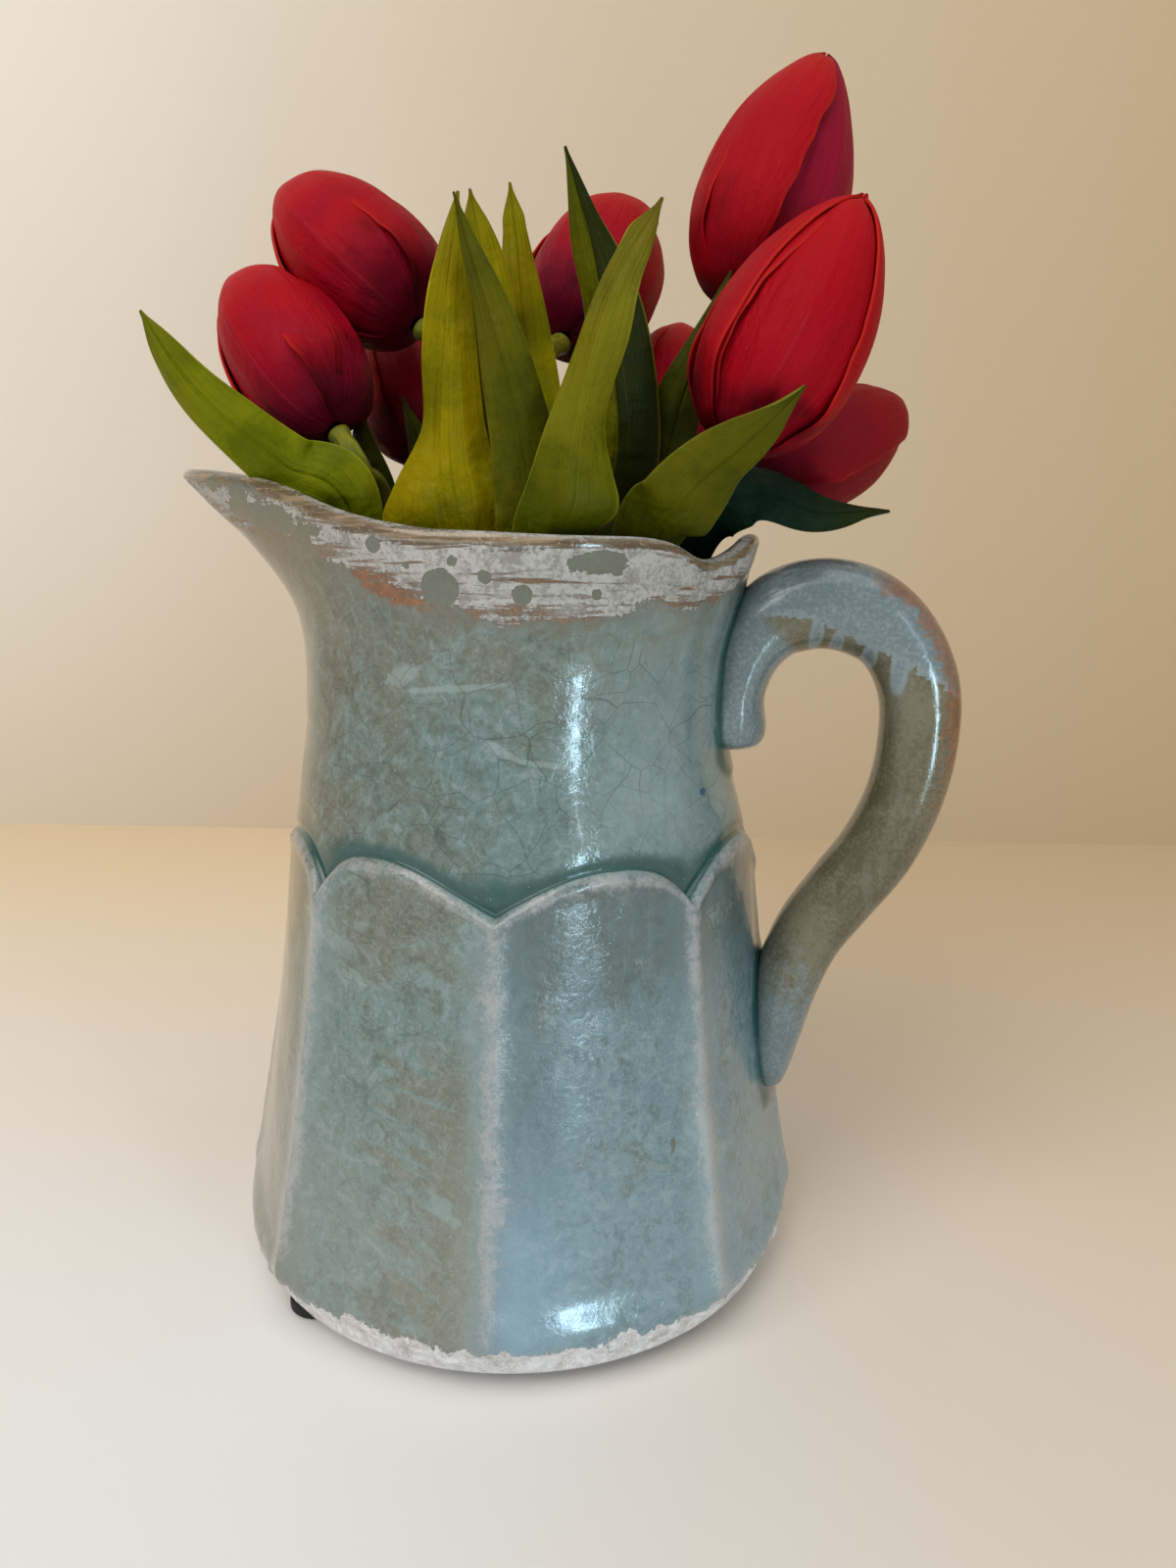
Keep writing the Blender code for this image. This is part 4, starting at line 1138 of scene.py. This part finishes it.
def make_leaf(name, finishes, chance):
    """A channelled blade with a creased midrib and waving edges."""
    _, _, side, _, width, (face_low, face_high), look_up, wave, waves, look = LEAVES[name]
    count = 64
    blade = sheet(f"{name}_fine", 16, count - 1)
    across, share = shares(blade)
    midrib = leaf_midrib(name, count)
    row = np.rint(share * (count - 1)).astype(int)
    place = across * 2 - 1
    ahead = unit(np.gradient(midrib, axis=0))
    along = np.linspace(0, 1, count)
    facing_angle = side + math.remainder(face_low - side, 360) * eased(along / 0.3)
    facing_angle = facing_angle + math.remainder(face_high - face_low, 360) * eased((along - 0.3) / 0.7)
    lift = math.radians(look_up) * eased((along - 0.2) / 0.4)
    facing_angle = np.radians(facing_angle)
    facing = round_axis(np.cos(lift), facing_angle, np.sin(lift))
    facing = unit(facing - ahead * (facing * ahead).sum(1)[:, None])
    sideways = np.cross(ahead, facing)
    swell = np.sin(math.pi * np.minimum(1.0, 0.08 + 0.92 * share) ** 0.85)
    half = (LEAF_ROOT_WIDTH * (1 - share) ** 3 + width * np.maximum(0.03, swell) * eased(share / 0.35)) / 2
    phase = chance.uniform(0, 6.28)
    second_phase = phase + chance.uniform(1.5, 4.5)
    left = 1 + 0.10 * np.sin(2 * math.pi * waves * share + phase)
    right = 1 + 0.10 * np.sin(2 * math.pi * waves * share + second_phase)
    if name in LEAF_EDGES:
        left, right = (reader(outline)(share) for outline in LEAF_EDGES[name])
    half = half * np.where(place < 0, left, right)
    free = eased((share - 0.42) / 0.15) * eased((1.0 - share) / 0.1)
    fold = LEAF_FOLD * half * (1 - abs(place) ** 1.4) * eased(share / 0.4) - 0.35 * hump(place * half, 0.7)
    swing = np.sin(2 * math.pi * (waves + 1.2) * share + phase + np.where(place < 0, 0.0, 2.2))
    bend = wave * swing * abs(place) ** 2.2 * free
    spots = midrib[row] + sideways[row] * (half * place)[:, None] + facing[row] * (fold + bend)[:, None]
    rough = 0.55 * ripple(np.stack([place * half, share * 40, np.full_like(place, phase)], -1), 6, 4) * free
    put_down(blade, spots + facing[row] * rough[:, None])
    apply(blade, "SOLIDIFY", thickness=LEAF_THICKNESS * MM, offset=0.0)
    apply(blade, "SUBSURF", levels=1, render_levels=1)
    done(blade, finishes[look], name)


def petal_finish(name, depth, tinted=0.0, tint=(0.235, 0.006, 0.030)):
    """Red petal: darker at the base, orange red at its thin edges, with a painted purple sheen, finely
    veined, a little wrinkled.
    """
    f = Finish(name, Specular_IOR_Level=0.07)
    spot = f.place()
    place = f.along(1.0, 1.0)
    across, along = place.part(0), place.part(1)
    off_middle = abs(across - 0.5) * 2
    veins = f.grain(f.along(60.0, 2.2), 1.0, 3.0, 0.6, 0.5)
    cloud = f.grain(spot, 0.07, 3.0, 0.55)
    fine = f.grain(spot, 0.8, 3.0, 0.6)
    low = (along + cloud.swing(0.5) + veins.swing(0.15)).rise(0.00, 0.25 + depth * 0.10)
    base = (0.085 - 0.066 * depth, 0.0, 0.004 - 0.002 * depth)
    f.colour = f.mix(low, base, (0.35 + 0.02 * depth, 0.0015, 0.007))
    f.paint((along + cloud.swing(0.6)).rise(0.45, 0.95) * 0.6, (0.43 + 0.05 * depth, 0.006, 0.010))
    # Painted sheen: purple patches over the red stand for the waxy sheen, strongest on the deeper petals.
    purple_sheen = (cloud + (0.62 - along) * 0.5).rise(0.48, 0.74) * (1 - off_middle**3)
    f.paint(purple_sheen * (0.14 + depth * 0.30), (0.215, 0.002, 0.022))
    f.paint(along.rise(0.0, 0.3) * tinted, tint)
    f.paint(veins.rise(0.50, 0.74) * 0.28, (0.20, 0.001, 0.006))
    f.paint(off_middle.rise(0.95, 1.0) * 0.35 * along.rise(0.1, 0.3), (0.62, 0.040, 0.016))
    f.paint(fine.rise(0.64, 0.75) * 0.10, (0.60, 0.06, 0.05))
    rib = abs(across - 0.512 + veins.swing(0.03)).rise(0.012, 0.0)
    f.paint(rib * along.rise(0.75, 0.35) * cloud.rise(0.40, 0.55) * 0.22, (0.36, 0.03, 0.04))
    wrinkle = f.grain(f.along(13.0, 6.0), 1.0, 4.0, 0.62, 1.6)
    folds = f.grain(f.along(9.0, 1.2), 1.0, 2.0, 0.5, 0.6)
    normal = f.bump(veins * 0.18 + wrinkle * 0.7 * along.rise(0.75, 0.35) + folds * 0.8 + fine * 0.06, 0.90)
    return f.feed(Base_Color=f.colour, Roughness=0.42 + fine * 0.14 + veins * 0.06, Normal=normal)


def leaf_finish(name, light, dark, tip, right_half_shade=0.0, root=0.0):
    """Waxy leaf: long veins, paler thin edges, patches of another green, and on some leaves painted shade
    on the right half and towards the root.
    """
    f = Finish(name, Specular_IOR_Level=0.055)
    spot = f.place()
    place = f.along(1.0, 1.0)
    across, along = place.part(0), place.part(1)
    off_middle = abs(across - 0.5) * 2
    veins = f.grain(f.along(44.0, 1.6), 1.0, 2.0, 0.5, 0.4)
    cloud = f.grain(spot, 0.06, 3.0, 0.55)
    dents = f.grain(spot, 0.15, 3.0, 0.45, 0.3)
    fine = f.grain(spot, 1.1, 3.0, 0.6)
    f.colour = f.mix((cloud + fine.swing(0.25) + along.swing(0.25)).rise(0.36, 0.64), dark, light)
    f.paint(along.rise(0.66, 1.0) * 0.6, tip)
    # Darker towards the root: partly the leaf's own darker base, partly painted shade where the leaves go
    # down into the jug's mouth.
    if root:
        f.paint(along.rise(0.66, 0.42) * root, tuple(c * 0.85 for c in dark))
    # Painted shade: the right half of the folded blade, turned away from the light, is darkened.
    if right_half_shade:
        f.paint(across.rise(0.49, 0.53) * right_half_shade, (0.012, 0.018, 0.004))
    f.paint(veins.rise(0.50, 0.75) * 0.32, tuple(c * 0.5 for c in dark))
    f.paint(veins.rise(0.42, 0.25) * 0.22, tuple(c * 1.5 for c in light))
    pale = off_middle.rise(0.93, 0.985)
    f.paint(pale * 0.65, tuple(c * 1.7 + 0.012 for c in light))
    f.paint(fine.rise(0.66, 0.72) * 0.25, tuple(c * 0.4 for c in dark))
    rib = off_middle.rise(0.10, 0.0)
    normal = f.bump(veins * 0.25 + fine * 0.08 - rib * 0.3 + dents * 1.3, 1.1)
    return f.feed(Base_Color=f.colour, Roughness=0.26 + fine * 0.12 + cloud * 0.10, Normal=normal)


def stem_finish():
    f = Finish("stem_green", Specular_IOR_Level=0.10)
    spot = f.place()
    streak = f.grain(f.along(9.0, 5.0), 1.0, 3.0, 0.55, 0.6)
    fine = f.grain(spot, 1.2, 2.0, 0.6)
    f.colour = f.mix(streak.rise(0.35, 0.65), (0.100, 0.115, 0.008), (0.235, 0.225, 0.020))
    f.paint(f.along(1.0, 1.0).part(1).rise(0.86, 1.0) * 0.5, (0.13, 0.14, 0.012))
    f.paint(fine.rise(0.6, 0.7) * 0.3, (0.04, 0.05, 0.015))
    normal = f.bump(streak * 0.7 + fine * 0.3, 0.15)
    return f.feed(Base_Color=f.colour, Roughness=0.40 + fine * 0.12, Normal=normal)


def rubber_finish():
    f = Finish("black_rubber", Specular_IOR_Level=0.3)
    spot = f.place()
    grain = f.grain(spot, 1.6, 3.0, 0.65)
    dust = f.grain(spot, 0.35, 4.0, 0.6)
    f.colour = f.mix(dust.rise(0.52, 0.75) * 0.5, (0.012, 0.012, 0.013), (0.07, 0.066, 0.06))
    return f.feed(Base_Color=f.colour, Roughness=0.5 + dust * 0.25, Normal=f.bump(grain, 0.12))


def make_pad(number, finish):
    """A rubber foot: a disc with rounded edges and a shallow dimple in its underside."""
    low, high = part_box(f"rubber_pad_{number}")
    centre, size = (low + high) / 2, high - low
    bpy.ops.object.select_all(action="DESELECT")
    bpy.ops.mesh.primitive_cylinder_add(vertices=48, radius=size.x / 2, depth=size.z, location=centre)
    pad = bpy.context.object
    pad.name = f"rubber_pad_{number}_fine"
    bpy.ops.object.transform_apply(location=True, rotation=True, scale=True)
    bpy.ops.object.mode_set(mode="EDIT")
    bpy.ops.mesh.select_mode(type="FACE")
    bpy.ops.mesh.select_all(action="DESELECT")
    bpy.ops.object.mode_set(mode="OBJECT")
    for face in pad.data.polygons:
        face.select = face.normal.z < -0.5
    bpy.ops.object.mode_set(mode="EDIT")
    bpy.ops.mesh.inset(thickness=2.6 * MM)
    bpy.ops.transform.translate(value=(0, 0, 0.5 * MM))
    bpy.ops.object.mode_set(mode="OBJECT")
    apply(pad, "BEVEL", width=0.7 * MM, segments=4, limit_method="ANGLE")
    apply(pad, "TRIANGULATE")
    done(pad, finish, f"rubber_pad_{number}")


# Stage, light and camera


def make_stage():
    """A pale table that meets a warm wall, both with painted light: the wall paler on the left and browner
    to the right, the table whiter at the front left and darker to the right.
    """
    sides = {
        "table": ((0.0, -2.53, -0.0002), (9.0, 6.0, 1.0), 0.0),
        "wall": ((0.0, 0.47, 2.4), (9.0, 5.2, 1.0), math.pi / 2),
    }
    for name, (place, size, tilt) in sides.items():
        bpy.ops.object.select_all(action="DESELECT")
        bpy.ops.mesh.primitive_plane_add(size=1, location=place, rotation=(tilt, 0, 0))
        side = bpy.context.object
        side.name = name
        side.scale = size
        bpy.ops.object.transform_apply(location=True, rotation=True, scale=True)
        f = Finish(f"pale_{name}", Specular_IOR_Level=0.25, Roughness=0.5)
        spot = f.place()
        x, y = spot.part(0), spot.part(1)
        tone = f.grain(spot, 0.004, 2.0)
        if name == "wall":
            # Painted light: the wall is paler on the left, where the light falls, and browner to the right;
            # lower down it turns darker and browner.
            f.colour = f.mix(x.rise(-520, 60), (0.885, 0.855, 0.795), (0.67, 0.555, 0.420))
            f.paint(x.rise(-60, 480), (0.615, 0.475, 0.295))
            f.paint(spot.part(2).rise(260, -60) * 0.34, (0.54, 0.42, 0.265))
        else:
            # Painted light and shadow: the near table is whiter on the left and darker and warmer on the
            # right, where the jug's shade falls; it turns warmer and darker towards the wall.
            back = y.rise(-120, 430)
            near = f.mix(x.rise(-100, 200), (0.85, 0.85, 0.86), (0.75, 0.66, 0.56))
            far = f.mix(x.rise(-150, 160), (0.84, 0.68, 0.465), (0.68, 0.535, 0.36))
            f.colour = f.mix(back, near, far)
        f.paint(tone * 0.06, (0.62, 0.55, 0.45))
        normal = f.bump(f.grain(spot, 0.12, 3.0), 0.10 if name == "wall" else 0.01)
        side.data.materials.append(f.feed(Base_Color=f.colour, Normal=normal))


def area_light(name, place, target, size, power, colour):
    light = bpy.data.lights.new(name, "AREA")
    light.shape = "RECTANGLE"
    light.size, light.size_y = size
    light.energy = power
    light.color = colour
    lamp = bpy.data.objects.new(name, light)
    bpy.context.scene.collection.objects.link(lamp)
    lamp.location = place
    lamp.rotation_euler = (Vector(target) - Vector(place)).to_track_quat("-Z", "Y").to_euler()


def light_and_camera():
    area_light("low_pane", (0.37, -0.61, 0.045), (0, 0, 0.165), (0.060, 0.075), 0.50, (0.55, 0.83, 1.0))
    area_light("high_pane", (0.37, -0.61, 0.150), (0, 0, 0.165), (0.060, 0.095), 0.62, (0.55, 0.83, 1.0))
    area_light("blind", (0.37, -0.61, 0.33), (0, 0, 0.14), (0.020, 0.24), 0.17, (0.75, 0.90, 1.0))
    area_light("key", (-0.75, -1.05, 1.45), (0, 0, 0.12), (1.2, 1.2), 17.0, (1.0, 0.96, 0.90))
    area_light("top", (0.35, -0.75, 1.9), (0, 0, 0.1), (1.4, 1.4), 7.0, (0.93, 0.97, 1.0))
    world = bpy.data.worlds.new("room")
    bpy.context.scene.world = world
    world.use_nodes = True
    world.node_tree.nodes["Background"].inputs["Color"].default_value = (1.0, 0.965, 0.90, 1)
    world.node_tree.nodes["Background"].inputs["Strength"].default_value = 0.40
    camera = bpy.data.cameras.new("camera")
    camera.lens = 26.0
    camera.sensor_width = 36.0
    camera.sensor_fit = "AUTO"
    camera.clip_start = 0.01
    placed = bpy.data.objects.new("camera", camera)
    bpy.context.scene.collection.objects.link(placed)
    pitch = Matrix.Rotation(math.radians(78.5), 4, "X") @ Matrix.Rotation(math.radians(1.1), 4, "Z")
    placed.matrix_world = Matrix.Translation(AXIS + Vector((17.9, -304.0, 193.5)) * MM) @ pitch
    bpy.context.scene.camera = placed
    bpy.context.scene.view_settings.view_transform = "Standard"


def main():
    jug = join("jug_fine", [make_jug_wall(), make_handle()])
    done(jug, celadon_finish(), "jug")
    rubber = rubber_finish()
    for number in (1, 2, 3, 4):
        make_pad(number, rubber)
    chance = random.Random(7)
    bright = petal_finish("petal_red", 0.0)
    deep = petal_finish("petal_deep_red", 1.0)
    magenta = petal_finish("petal_magenta", 0.5, 0.75)
    dark = petal_finish("petal_dark_red", 1.0, 0.6, (0.125, 0.009, 0.012))
    green = stem_finish()
    for tulip in TULIPS:
        finish = {"tulip_6": bright, "tulip_7": bright, "tulip_8": dark}.get(tulip, deep)
        make_stem(tulip, green)
        make_whorl(tulip, "outer", finish, chance)
        make_whorl(tulip, "inner", magenta if tulip == "tulip_6" else finish, chance)
    leaves = {look: leaf_finish(f"leaf_{look}", *tints) for look, tints in LEAF_LOOKS.items()}
    for name in LEAVES:
        make_leaf(name, leaves, chance)
    make_stage()
    light_and_camera()


main()

bpy.context.view_layer.update()
